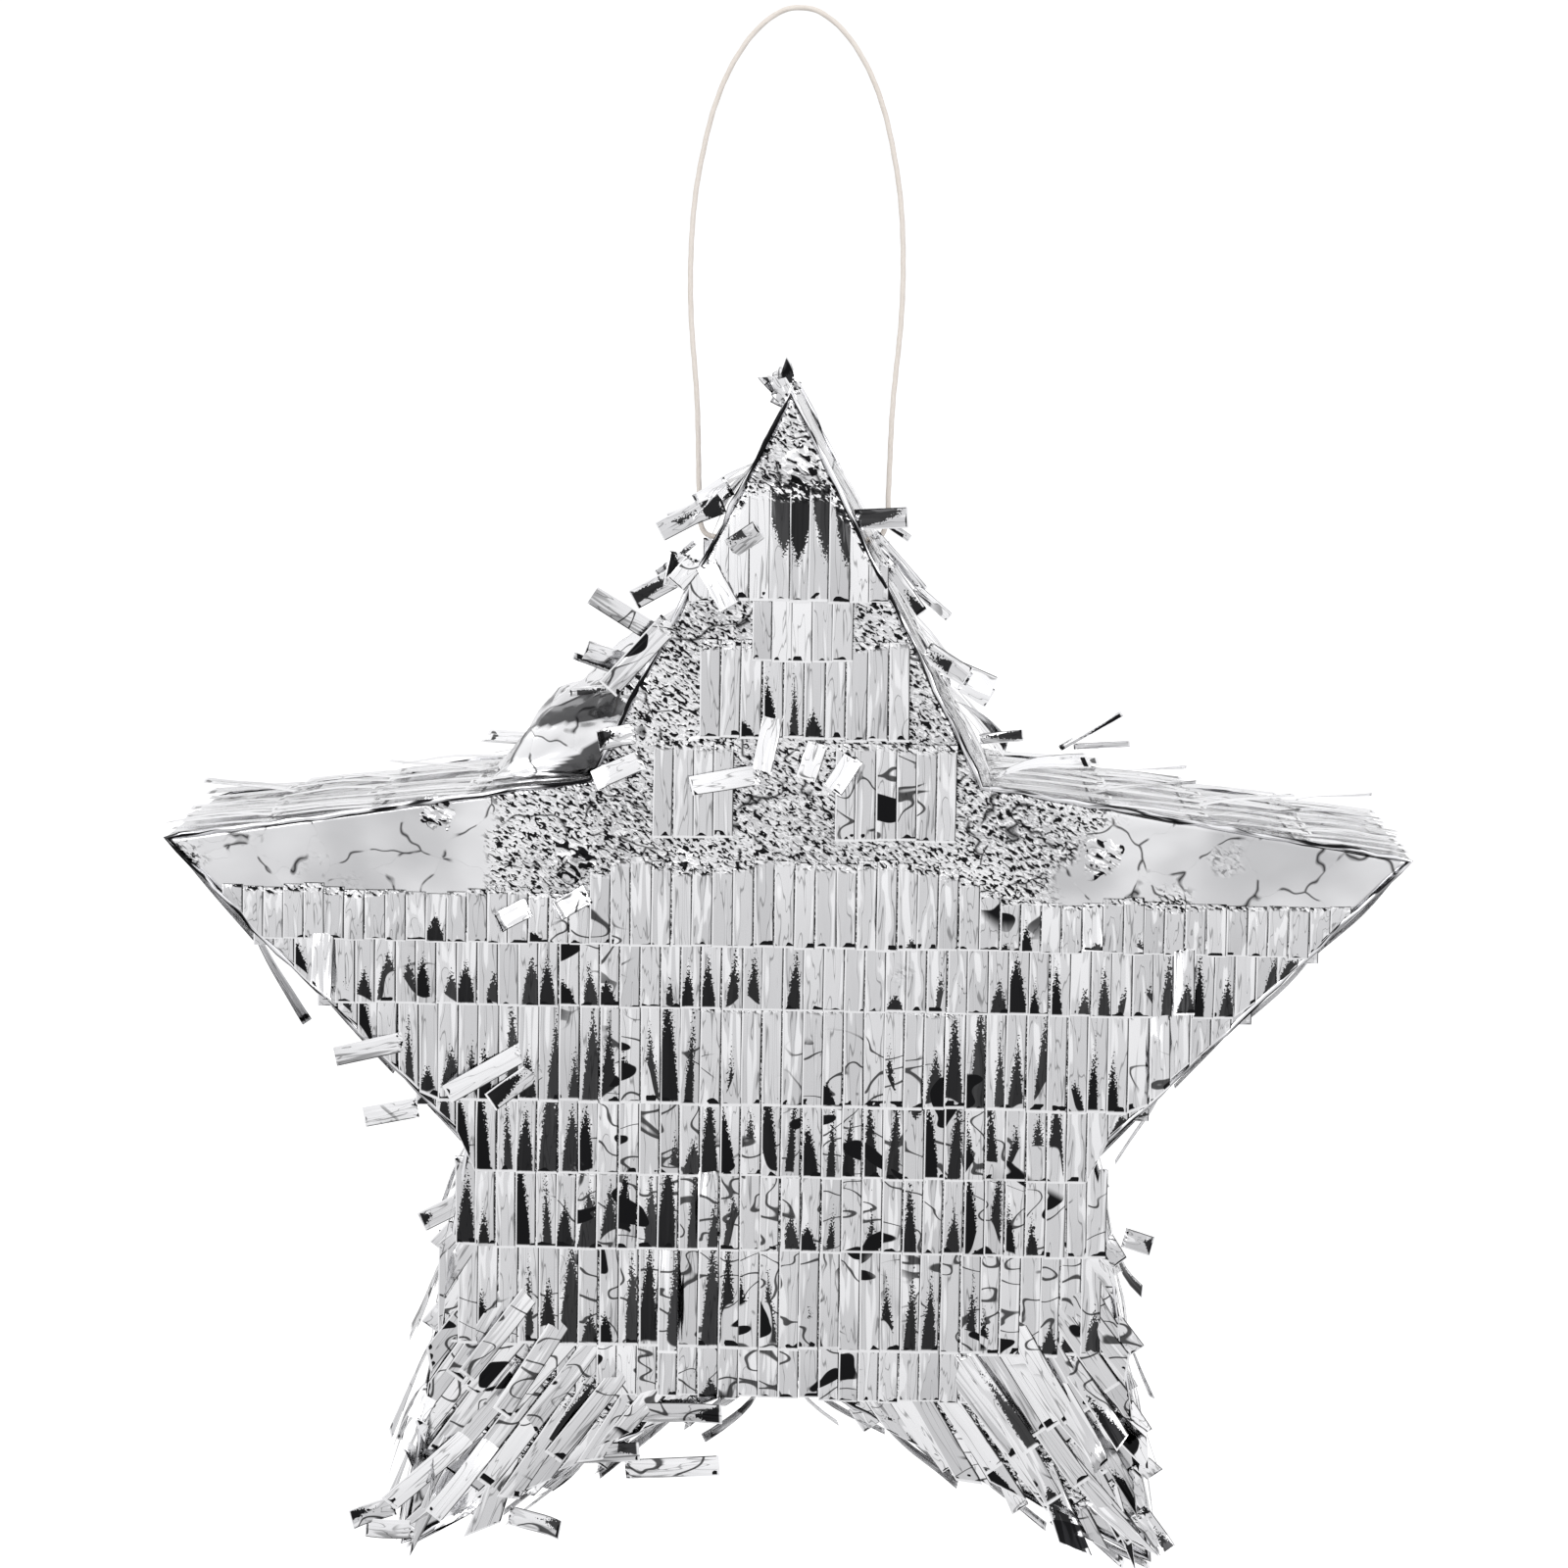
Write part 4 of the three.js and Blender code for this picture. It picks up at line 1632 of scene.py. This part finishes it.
@dataclass
class LooseStrips:
    """Strips that came loose or were folded over, and the crumpled foil at the top tip."""

    star: Star
    front: tuple[Strip, ...] = (
        Strip(-32.0, 108.0, -122.0, 23.0, lift=6.0, twist=15.0, depth=4.0),
        Strip(-29.0, 125.5, -61.0, 13.5, lift=8.0, mood=1.2, depth=3.0),
        Strip(-28.5, 131.5, -11.0, 9.0, lift=8.0, mood=1.2, depth=2.0),
        Strip(-24.5, 129.5, -40.0, 8.0, lift=10.0, depth=1.0),
        Strip(-23.0, 142.8, -62.0, 12.5, lift=6.0, mood=0.9, depth=3.0),
        Strip(-17.5, 144.5, -69.0, 15.0, lift=6.0, mood=1.5, depth=4.0),
        Strip(-25.0, 134.2, -50.0, 13.0, lift=4.0, mood=1.0, width=1.8, depth=5.0),
        Strip(-16.0, 149.0, -60.0, 11.0, lift=15.0, curl=40.0, depth=7.0),
        Strip(-43.5, 99.0, -110.0, 14.0, lift=4.0, mood=1.0, width=2.0, depth=6.0),
        Strip(-47.0, 95.0, -83.0, 11.0, lift=4.0, mood=1.0, width=2.2, depth=8.0),
        Strip(-31.0, 113.5, -42.0, 24.0, lift=3.0, mood=0.0, width=6.0),
        Strip(17.0, 140.8, 94.0, 14.0, lift=10.0, mood=1.9, depth=3.0),
        Strip(-3.4, 89.8, -11.0, 16.0, twist=15.0), Strip(-7.0, 73.6, -81.0, 18.5, lift=12.0, twist=-30.0),
        Strip(8.3, 82.2, -18.0, 10.5), Strip(17.9, 78.7, -34.0, 11.5, lift=30.0),
        Strip(-38.0, 77.0, -67.0, 14.5, lift=16.0, curl=30.0),
        Strip(-40.0, 84.0, -80.0, 12.0, lift=20.0, curl=60.0, mood=0.6),
        Strip(-68.9, -2.1, -61.0, 23.5, lift=14.0),
        Strip(-64.0, -6.0, -55.0, 17.0, lift=8.0, curl=20.0, mood=0.7),
        Strip(-52.1, 40.8, -62.0, 12.5, curl=70.0), Strip(-67.7, 37.0, -65.0, 10.5, curl=40.0),
        Strip(-85.9, -44.5, -63.0, 12.0, lift=6.0, depth=2.0, mood=0.3),
        Strip(-101.2, -0.1, -78.0, 18.5, lift=10.0, twist=10.0),
        Strip(-97.8, -18.8, -80.0, 14.5, lift=8.0, depth=3.0),
        Strip(72.7, 79.5, 121.0, 19.0, lift=2.0, mood=0.6, width=1.6, depth=18.0),
        Strip(76.5, 79.8, 94.0, 15.0, lift=2.0, mood=0.0, width=1.6, depth=20.0),
        Strip(21.5, 142.6, 56.0, 12.0, lift=4.0, mood=1.0, width=2.0, depth=5.0),
        Strip(22.0, 137.0, 42.0, 20.0, lift=3.0, mood=0.0, width=2.6, depth=9.0),
        Strip(26.0, 128.5, 37.0, 15.0, lift=6.0, mood=0.5, width=3.4, depth=4.0),
        Strip(33.0, 123.0, 50.0, 12.0, lift=6.0, width=2.6, depth=7.0),
        Strip(36.2, 106.8, 59.0, 13.0, lift=10.0, mood=0.95, depth=3.0),
        Strip(40.6, 103.0, 69.0, 15.0, lift=14.0, twist=20.0, depth=5.0),
        Strip(45.6, 98.9, 60.0, 9.0, lift=10.0, depth=4.0),
        Strip(50.8, 83.5, 97.0, 11.5, lift=6.0, mood=0.9, width=3.0, depth=4.0),
        Strip(-62.0, -114.5, 95.0, 25.0, lift=4.0, mood=0.4, depth=1.0),
        Strip(-41.0, -117.6, 96.0, 26.0, lift=7.0, twist=12.0),
        Strip(-40.7, -101.5, 93.0, 26.5, lift=6.0, curl=16.0, mood=0.3),
        Strip(-104.0, -129.4, -75.0, 12.5, lift=12.0, curl=30.0, mood=0.5),
        Strip(-98.4, -136.2, -94.0, 13.5, lift=10.0, curl=-20.0),
        Strip(-72.6, -131.4, 80.0, 15.5, lift=10.0, curl=30.0, mood=0.4),
        Strip(98.3, -126.2, 39.0, 13.5, lift=14.0, curl=30.0, mood=0.5),
        Strip(-42.1, 101.6, -111.0, 13.0, lift=16.0, curl=30.0, depth=5.0),
        Strip(-21.8, 128.9, 31.0, 13.0, lift=14.0), Strip(-15.4, 132.9, 125.0, 9.5, lift=14.0, mood=0.95),
        Strip(92.1, -49.8, 76.0, 8.0, lift=14.0, mood=0.3)
    )
    tuft_count: int = 11
    back_count: int = 16
    crumple_cells: int = 22
    crumple_worn: float = 0.4
    crumple_foot: float = 0.35 * MM
    crumple_dome: float = 0.25 * MM
    crumple_rough: float = 1.3 * MM
    glue_height: float = 2.2 * MM
    crumples: tuple[tuple[float, float, float], ...] = (
        (-57.0, 50.0, 8.0), (-26.0, 49.0, 5.0), (-92.0, 60.0, 7.0), (1.5, 154.0, 6.5), (84.0, 52.0, 7.0),
        (-22.0, 79.0, 6.0), (-40.0, 96.0, 5.0), (-4.0, -88.0, 7.0)
    )

    def cut_strip(self, cutter: TasselCutter, strip: Strip, front: bool) -> None:
        """Adds one strip.

        Args:
            cutter: what it is added to.
            strip: the strip.
            front: whether it is on the front.
        """
        face = self.star.face(front)
        angle = math.radians(strip.turn)
        hang = Vector((math.sin(angle), 0.0, -math.cos(angle)))
        foot = face.origin + Vector((strip.x, 0.0, strip.z)) * MM - face.out * (strip.depth * MM)
        drawn = Tassel(
            across=0.0, start=0.0, length=strip.length * MM, width=strip.width * MM, base=self.glue_height,
            lift=math.radians(strip.lift), curl=math.radians(strip.curl), twist=math.radians(strip.twist),
            bow=0.3 * MM, mood=strip.mood
        )
        cutter.cut(Ground(foot, hang, face.out), drawn)

    def build_strips(self) -> bpy.types.Object:
        """Makes the strips on both faces.

        Returns:
            The strips' piece.
        """
        cutter = TasselCutter()
        for strip in self.front:
            self.cut_strip(cutter, strip, True)
        dice = random.Random("back strips")
        placed = 0
        while placed < self.back_count:
            x, z = dice.uniform(-120.0, 120.0), dice.uniform(-125.0, 120.0)
            if not self.star.holds(x * MM, z * MM, -8 * MM):
                continue
            mood = dice.choice((-1.0, -1.0, 0.5, 0.9))
            strip = Strip(
                x, z, dice.uniform(-80.0, 80.0), dice.uniform(10.0, 20.0), dice.uniform(8.0, 24.0), mood=mood
            )
            self.cut_strip(cutter, strip, False)
            placed += 1
        return finish_piece(cutter.mesh, "loose_strips", "star")

    def build_tuft(self) -> bpy.types.Object:
        """Makes the crumpled foil at the top tip, which leans to the left.

        Returns:
            The tuft's piece.
        """
        dice = random.Random("tip tuft")
        cutter = TasselCutter()
        top = self.star.tip_radius / MM
        for i in range(self.tuft_count):
            strip = Strip(
                x=dice.uniform(-3.5, 1.0), z=top + dice.uniform(-2.0, 3.0), turn=dice.uniform(-175.0, -110.0),
                length=dice.uniform(5.0, 8.5), lift=dice.uniform(-30.0, 30.0),
                curl=dice.uniform(-110.0, 110.0), twist=dice.uniform(-70.0, 70.0),
                mood=dice.choice((-1.0, 0.6, 0.95, 0.0)), width=dice.uniform(3.0, 6.0),
                depth=dice.uniform(1.0, 9.0) if i % 3 else dice.uniform(20.0, 60.0)
            )
            self.cut_strip(cutter, strip, True)
        return finish_piece(cutter.mesh, "tip_tuft", "star")

    def build_crumples(self) -> bpy.types.Object:
        """Makes the small crumpled lumps in the front foil.

        Returns:
            The lumps' piece.
        """
        ground = self.star.face(True)
        mesh = bmesh.new()
        worn = mesh.verts.layers.float.new(WORN_MARK)
        for number, (x, z, radius) in enumerate(self.crumples):
            cells = self.crumple_cells
            made = bmesh.ops.create_grid(mesh, x_segments=cells, y_segments=cells, size=1.0)
            foot = ground.place(-x * MM, -z * MM, 0.0)
            for vertex in made["verts"]:
                place = vertex.co.copy()
                dome = max(0.0, 1.0 - place.length)
                seed = Vector((place.x * 1.9, place.y * 1.9, number * 3.3))
                rough = noise.turbulence(seed, 3, True)
                height = self.crumple_foot + dome**0.6 * (self.crumple_dome + self.crumple_rough * rough)
                spread = radius * MM * (0.85 + 0.3 * noise.noise(seed))
                vertex.co = ground.place(-x * MM + place.x * spread, -z * MM + place.y * spread, height)
                vertex[worn] = self.crumple_worn
            rim = [v for v in made["verts"] if (v.co - foot).length > radius * 1.05 * MM]
            bmesh.ops.delete(mesh, geom=rim, context="VERTS")
        return finish_piece(mesh, "foil_crumples", "star")

    def build(self, wardrobe: Wardrobe) -> None:
        """Makes and dresses the loose pieces.

        Args:
            wardrobe: the finishes.
        """
        wardrobe.dress(self.build_strips(), Finish.TASSEL)
        wardrobe.dress(self.build_tuft(), Finish.TASSEL)
        wardrobe.dress(self.build_crumples(), Finish.CRUSHED)


# ---------------------------------------------------------------- flap


@dataclass
class FillFlap:
    """The foil and the tassels that ride on the fill flap."""

    star: Star
    face_index: int = 9
    start: float = 62.0 * MM
    half_width: float = 22.5 * MM
    outline: tuple[tuple[float, float], ...] = (
        (62.7, 0.5), (68.0, 1.8), (76.0, 6.7), (86.0, 9.7), (96.0, 14.8), (103.0, 20.0), (116.0, 22.7),
        (127.0, 24.3)
    )
    belly_share: float = 0.5
    base: float = 1.2 * MM
    uneven: float = 3 * MM
    rows: tuple[tuple[float, float, RowStyle], ...] = (
        (4.6 * MM, 17 * MM, RowStyle()), (15 * MM, 31 * MM, RAGGED),
    )
    # white_fold and dark_from: where the sheet's white band lies, and below which its folded side is painted
    # dark as a painted dark reflection.
    white_fold: tuple[tuple[float, float], ...] = ((95.358 * MM, 0.714), (99.138 * MM, 1.61))
    dark_from: float = 84 * MM

    def build_tassels(self) -> bpy.types.Object:
        """Makes the tassels on the flap.

        Returns:
            The tassels' piece.
        """
        ground, _ = self.star.side(self.face_index)
        dice = random.Random("flap")
        cutter = TasselCutter()
        for start, end, style in self.rows:
            for across in spread(-self.half_width, self.half_width, style.width):
                length = end - start + self.uneven * dice.random()
                cutter.cut(ground, style.tassel(dice, across, self.start + start, length, self.base))
        return finish_piece(cutter.mesh, "flap_tassels", "flap", "flap_fringe")

    def outline_at(self, t: float) -> tuple[float, float]:
        """Finds the sheet's distances down the wall and out of it, at a share of its outline."""
        place = t * (len(self.outline) - 1)
        first = min(int(place), len(self.outline) - 2)
        share = place - first
        start, end = self.outline[first : first + 2]
        return tuple((a + (b - a) * share) * MM for a, b in zip(start, end))

    def floor_at(self, down: float) -> float:
        """How far out the sheet's sides may reach in: to the wall, and further down to the side arm's top."""
        return max(0.6 * MM, 1.39 * (down - 111 * MM))

    def sheet_mood(self, across: float, hem: float, down: float, out: float) -> float:
        """Says how dark the sheet is painted: two dark panels on its front side, painted dark reflections,
        with a white band between, else dark and white patches, painted reflections.

        Args:
            across: the place across the sheet, from -1 at its front edge to 1.
            hem: how far down its folded side, from 0 to 1.
            down: the distance down the wall.
            out: the distance out of the wall.

        Returns:
            The mood, the sheet's mark of painted reflections.
        """
        if across > 0 or hem == 0:
            # Painted dark and white patches, as painted reflections.
            patch = noise.noise(Vector((across * 2.2, down * 45.0, 3.0)))
            return 0.8 * smoothstep(0.08, 0.2, patch) - 0.7 * smoothstep(0.1, 0.2, -patch)
        upper, lower = (level + slope * out for level, slope in self.white_fold)
        if upper < down < lower:
            return -1.0
        return 0.85 if down > self.dark_from else 0.1

    def build_sheet(self) -> bpy.types.Object:
        """Makes the loose sheet of foil over the flap, which bellies out and is folded in along its sides.

        Returns:
            The sheet's piece.
        """
        ground, _ = self.star.side(self.face_index)
        mesh = bmesh.new()
        bmesh.ops.create_grid(mesh, x_segments=76, y_segments=54, size=0.5)
        mood = mesh.verts.layers.float.new(PAINTED_REFLECTION_MARK)
        for vertex in mesh.verts:
            across, t = vertex.co.x * 2, vertex.co.y + 0.5
            hem = max(0.0, abs(across) - self.belly_share) / (1 - self.belly_share)
            down, out = self.outline_at(t)
            loose = smoothstep(0.08, 0.4, t)
            crumple = noise.turbulence(Vector((across * 2.1, t * 3.2, 7.0)), 3, True) - 0.5
            ruffle = noise.noise(Vector((across * 3.4, 2.0, 4.0)))
            out += 3.6 * MM * crumple * loose * (1 - hem)
            down += 4 * MM * ruffle * loose * (1 - hem)
            out += (self.floor_at(down) - out) * hem
            spread = loose * (2 * MM * hem + 3.5 * MM * math.sin(math.pi * hem) * (0.5 + crumple))
            side = self.half_width * min(1.0, abs(across) / self.belly_share) + spread
            vertex.co = ground.place(math.copysign(side, across), down, out)
            vertex[mood] = self.sheet_mood(across, hem, down, out)
        return finish_piece(mesh, "flap_loose_foil", "flap")

    def build(self, wardrobe: Wardrobe) -> None:
        """Makes and dresses the flap's pieces.

        Args:
            wardrobe: the finishes.
        """
        wardrobe.dress(self.build_tassels(), Finish.TASSEL)
        wardrobe.dress(self.build_sheet(), Finish.LOOSE)
        wardrobe.dress(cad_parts["flap_foil"], Finish.SKIN)
        wardrobe.dress(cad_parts["fill_flap"], Finish.CARD)


# ---------------------------------------------------------------- box


@dataclass
class CardboardBox:
    """The panels, walls, tapes and patches under the foil."""

    boards: tuple[str, ...] = ("front_panel", "back_panel")
    walls: tuple[str, ...] = (
        "top_arm_wall", "right_arm_wall", "right_leg_wall", "left_leg_wall", "left_arm_wall"
    )
    corners: tuple[str, ...] = ("upper_right", "lower_right", "bottom", "lower_left", "upper_left")
    patches: tuple[str, ...] = ("right_hole_patch", "left_hole_patch")

    def build(self, wardrobe: Wardrobe) -> None:
        """Dresses the CAD nodes, which keep their shape.

        Args:
            wardrobe: the finishes.
        """
        tapes = tuple(f"{corner}_corner_tape" for corner in self.corners) + self.patches
        for names, finish in ((self.boards, Finish.BOARD), (self.walls, Finish.CARD), (tapes, Finish.TAPE)):
            for name in names:
                wardrobe.dress(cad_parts[name], finish)
                LOG.info("%s: kept from the frame", name)


# ---------------------------------------------------------------- cord


@dataclass
class HangingLoop:
    """The cord loop, from the knot out through both sides of the top arm."""

    diameter: float = 1.5 * MM
    crown: float = 141 * MM
    ply_pitch: float = 7 * MM
    knot_radius: float = 2.31 * MM
    knot_rings: int = 72
    exit_x: float = 19.7 * MM
    route: tuple[tuple[float, float], ...] = (
        (3.7, 0), (12, 0), (20, 0), (23.6, 0.9), (25.3, 4.4), (25.7, 14), (26.4, 36), (28.3, 60), (28.5, 75),
        (27.6, 90), (25.7, 102), (22.5, 115), (17.9, 126), (11.6, 135), (5, 140), (0, 141)
    )

    @property
    def hole_height(self) -> float:
        """The height of the cord holes' axis in the frame."""
        return self.diameter / 2 - self.crown

    def centreline(self) -> list[Vector]:
        """Runs a smooth line through the route and its mirror image.

        Returns:
            The ring centres.
        """
        right = [Vector((x, 0.0, z)) * MM for x, z in self.route]
        points = right + [Vector((-p.x, 0.0, p.z)) for p in reversed(right[:-1])]
        points = [points[0] * 2 - points[1]] + points + [points[-1] * 2 - points[-2]]
        path = []
        for i in range(1, len(points) - 2):
            a, b, c, d = points[i - 1 : i + 3]
            steps = max(2, round((c - b).length / (1.1 * MM)))
            for j in range(steps):
                path.append(self.between(a, b, c, d, j / steps))
        path.append(points[-2])
        return [p + Vector((0.0, 0.0, self.hole_height)) for p in path]

    @staticmethod
    def between(a: Vector, b: Vector, c: Vector, d: Vector, share: float) -> Vector:
        """Returns a point between b and c on the centripetal curve through all four.

        Args:
            a: the point before.
            b: where the stretch starts.
            c: where it ends.
            d: the point after.
            share: how far along the stretch, from 0 to 1.

        Returns:
            The point.
        """
        first = math.sqrt((b - a).length)
        second = first + math.sqrt((c - b).length)
        third = second + math.sqrt((d - c).length)
        t = first + (second - first) * share
        early = a.lerp(b, t / first)
        middle = b.lerp(c, share)
        late = c.lerp(d, (t - second) / (third - second))
        near = early.lerp(middle, t / second)
        far = middle.lerp(late, (t - first) / (third - first))
        return near.lerp(far, share)

    def build_knot(self) -> bpy.types.Object:
        """Makes the overhand knot that joins the loop's ends.

        Returns:
            The knot's piece.
        """
        path = []
        for i in range(self.knot_rings):
            a = 2 * math.pi * i / self.knot_rings
            across = (math.sin(a) + 2 * math.sin(2 * a)) / 3
            up = (math.cos(a) - 2 * math.cos(2 * a)) / 3
            bend = Vector((-0.45 * math.sin(3 * a), across, up)) * self.knot_radius
            path.append(bend + Vector((0, 0, self.hole_height)))
        mesh = sweep_tube(path, [self.diameter / 2] * len(path), sides=8, closed=True)
        return finish_piece(mesh, "loop_knot_tied", "loop", "loop_knot")

    def build(self, wardrobe: Wardrobe) -> None:
        """Makes and dresses the cord and its knot.

        Args:
            wardrobe: the finishes.
        """
        path = self.centreline()
        mesh = sweep_tube(path, [self.diameter / 2] * len(path), sides=12, lobes=3, pitch=self.ply_pitch * 3)
        cord = finish_piece(mesh, "hanging_loop_cord", "loop", "hanging_loop")
        knot = self.build_knot()
        length = sum((b - a).length for a, b in zip(path, path[1:]))
        self.hole_height
        LOG.info("the loop's cord is %.3f m long", length)
        wardrobe.dress(cord, Finish.CORD)
        wardrobe.dress(knot, Finish.CORD)


# ---------------------------------------------------------------- studio


@dataclass
class Studio:
    """The camera, the lights, the sky that the foil mirrors and the pale sweep behind."""

    azimuth: float = 1.5
    elevation: float = 8.44
    roll: float = 0.8
    distance: float = 0.938
    field_of_view: float = 25.84
    target: tuple[float, float, float] = (-0.0015, 0.0, -0.2077)
    floor_drop: float = 0.35
    sweep_radius: float = 3.2
    sweep_bend: float = 0.8
    sweep_height: float = 4.0
    black: Colour = (0.0, 0.0, 0.0, 1.0)
    white: Colour = (1.0, 1.0, 1.0, 1.0)
    bands: tuple[tuple[float, float], ...] = (
        (-1.0, 0.8), (-0.85, 0.62), (-0.66, 0.3), (-0.56, 0.34), (-0.46, 0.76), (-0.1, 0.85), (0.3, 0.94),
        (1.0, 1.02),
    )

    def set_camera(self) -> None:
        """Puts the camera a little above the star and to its right."""
        data = bpy.data.cameras.new("camera")
        data.sensor_width = 36.0
        data.lens = 18.0 / math.tan(math.radians(self.field_of_view / 2))
        camera = bpy.data.objects.new("camera", data)
        bpy.context.scene.collection.objects.link(camera)
        a, e = math.radians(self.azimuth), math.radians(self.elevation)
        back = Vector((math.sin(a) * math.cos(e), -math.cos(a) * math.cos(e), math.sin(e)))
        turn = (-back).to_track_quat("-Z", "Y").to_matrix().to_4x4()
        place = Matrix.Translation(Vector(self.target) + back * self.distance)
        camera.matrix_world = place @ turn @ Matrix.Rotation(math.radians(self.roll), 4, "Z")
        bpy.context.scene.camera = camera

    def set_sky(self) -> None:
        """Makes the white tent that the foil mirrors: pale above, with a dark band low down."""
        world = bpy.data.worlds.new("tent")
        world.use_nodes = True
        world.node_tree.nodes.clear()
        nodes = NodeTree(world.node_tree)
        right, back, up = nodes.separate(nodes.coordinates("Generated"))
        colours = nodes.add("ShaderNodeValToRGB")
        stops = colours.color_ramp.elements
        while len(stops) < len(self.bands):
            stops.new(0.5)
        for stop, (z, level) in zip(stops, self.bands):
            stop.position = 0.5 + 0.5 * z
            stop.color = (level, level, level * 1.01, 1.0)
        banded = nodes.fed(colours, up * 0.5 + 0.5)
        turn = nodes.math("ARCTAN2", right, back)
        gap = abs(nodes.math("SINE", turn)).remap(0.93, 0.985, 1.0, 0.6)
        by_camera = nodes.out(nodes.add("ShaderNodeLightPath"), "Is Camera Ray")
        seen = nodes.layered(self.black, (gap, banded), (by_camera, self.white))
        light = nodes.fed(nodes.add("ShaderNodeBackground"), seen, 1.0)
        nodes.fill(nodes.add("ShaderNodeOutputWorld"), Surface=light)
        bpy.context.scene.world = world

    def set_lights(self) -> None:
        """Adds two soft boxes, high at the front left and the right."""
        for name, spot, size, power in (
            ("key_box", (-0.9, -1.4, 0.9), 1.3, 10.0), ("fill_box", (1.3, -1.0, 0.3), 1.0, 5.0)
        ):
            data = bpy.data.lights.new(name, "AREA")
            data.size = size
            data.energy = power
            lamp = bpy.data.objects.new(name, data)
            lamp.location = spot
            lamp.rotation_euler = (Vector(self.target) - Vector(spot)).to_track_quat("-Z", "Y").to_euler()
            bpy.context.scene.collection.objects.link(lamp)

    def set_sweep(self, floor: float) -> None:
        """Makes the pale floor, which curves up into a wall all round.

        Args:
            floor: the floor's height.
        """
        mesh = bmesh.new()
        spots = [(0.0, floor)]
        for i in range(13):
            a = math.pi / 2 * i / 12
            reach = self.sweep_radius - self.sweep_bend * (1 - math.sin(a))
            spots.append((reach, floor + self.sweep_bend * (1 - math.cos(a))))
        spots.append((self.sweep_radius, floor + self.sweep_height))
        profile = [mesh.verts.new((x, 0.0, z)) for x, z in spots]
        edges = [mesh.edges.new(pair) for pair in zip(profile, profile[1:])]
        bmesh.ops.spin(
            mesh, geom=profile + edges, angle=2 * math.pi, steps=96, axis=(0.0, 0.0, 1.0),
            cent=(0.0, 0.0, 0.0), use_merge=True
        )
        bmesh.ops.remove_doubles(mesh, verts=mesh.verts[:], dist=1e-5)
        bmesh.ops.recalc_face_normals(mesh, faces=mesh.faces[:])
        sweep = make_object(mesh, "floor_sweep")
        material, nodes, shader = start_material("pale_floor")
        nodes.fill(shader, Base_Color=(0.95, 0.95, 0.95, 1.0), Roughness=0.9)
        nodes.fill(shader, Emission_Color=self.white, Emission_Strength=0.25)
        sweep.data.materials.append(material)
        sweep.visible_glossy = False
        sweep.visible_diffuse = False
        sweep.visible_shadow = False
        sweep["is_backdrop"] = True

    def build(self, lowest: float) -> None:
        """Sets up everything round the object.

        Args:
            lowest: the object's lowest point.
        """
        self.set_camera()
        self.set_sky()
        self.set_lights()
        self.set_sweep(lowest - self.floor_drop)
        bpy.context.scene.view_settings.view_transform = "Standard"


# ---------------------------------------------------------------- main


def main() -> None:
    """Builds the pinata piece by piece."""
    logging.basicConfig(level=logging.INFO, format="%(name)s %(message)s")
    cad_low, cad_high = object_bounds()
    Studio().build(cad_low.z)
    star = Star()
    wardrobe = Wardrobe()
    HangingLoop().build(wardrobe)
    CardboardBox().build(wardrobe)
    FoilSkins(star).build(wardrobe)
    for front in (True, False):
        FaceFringe(star, front).build(wardrobe)
    SideFringe(star).build(wardrobe)
    LooseStrips(star).build(wardrobe)
    FillFlap(star).build(wardrobe)


if __name__ == "__main__":
    main()
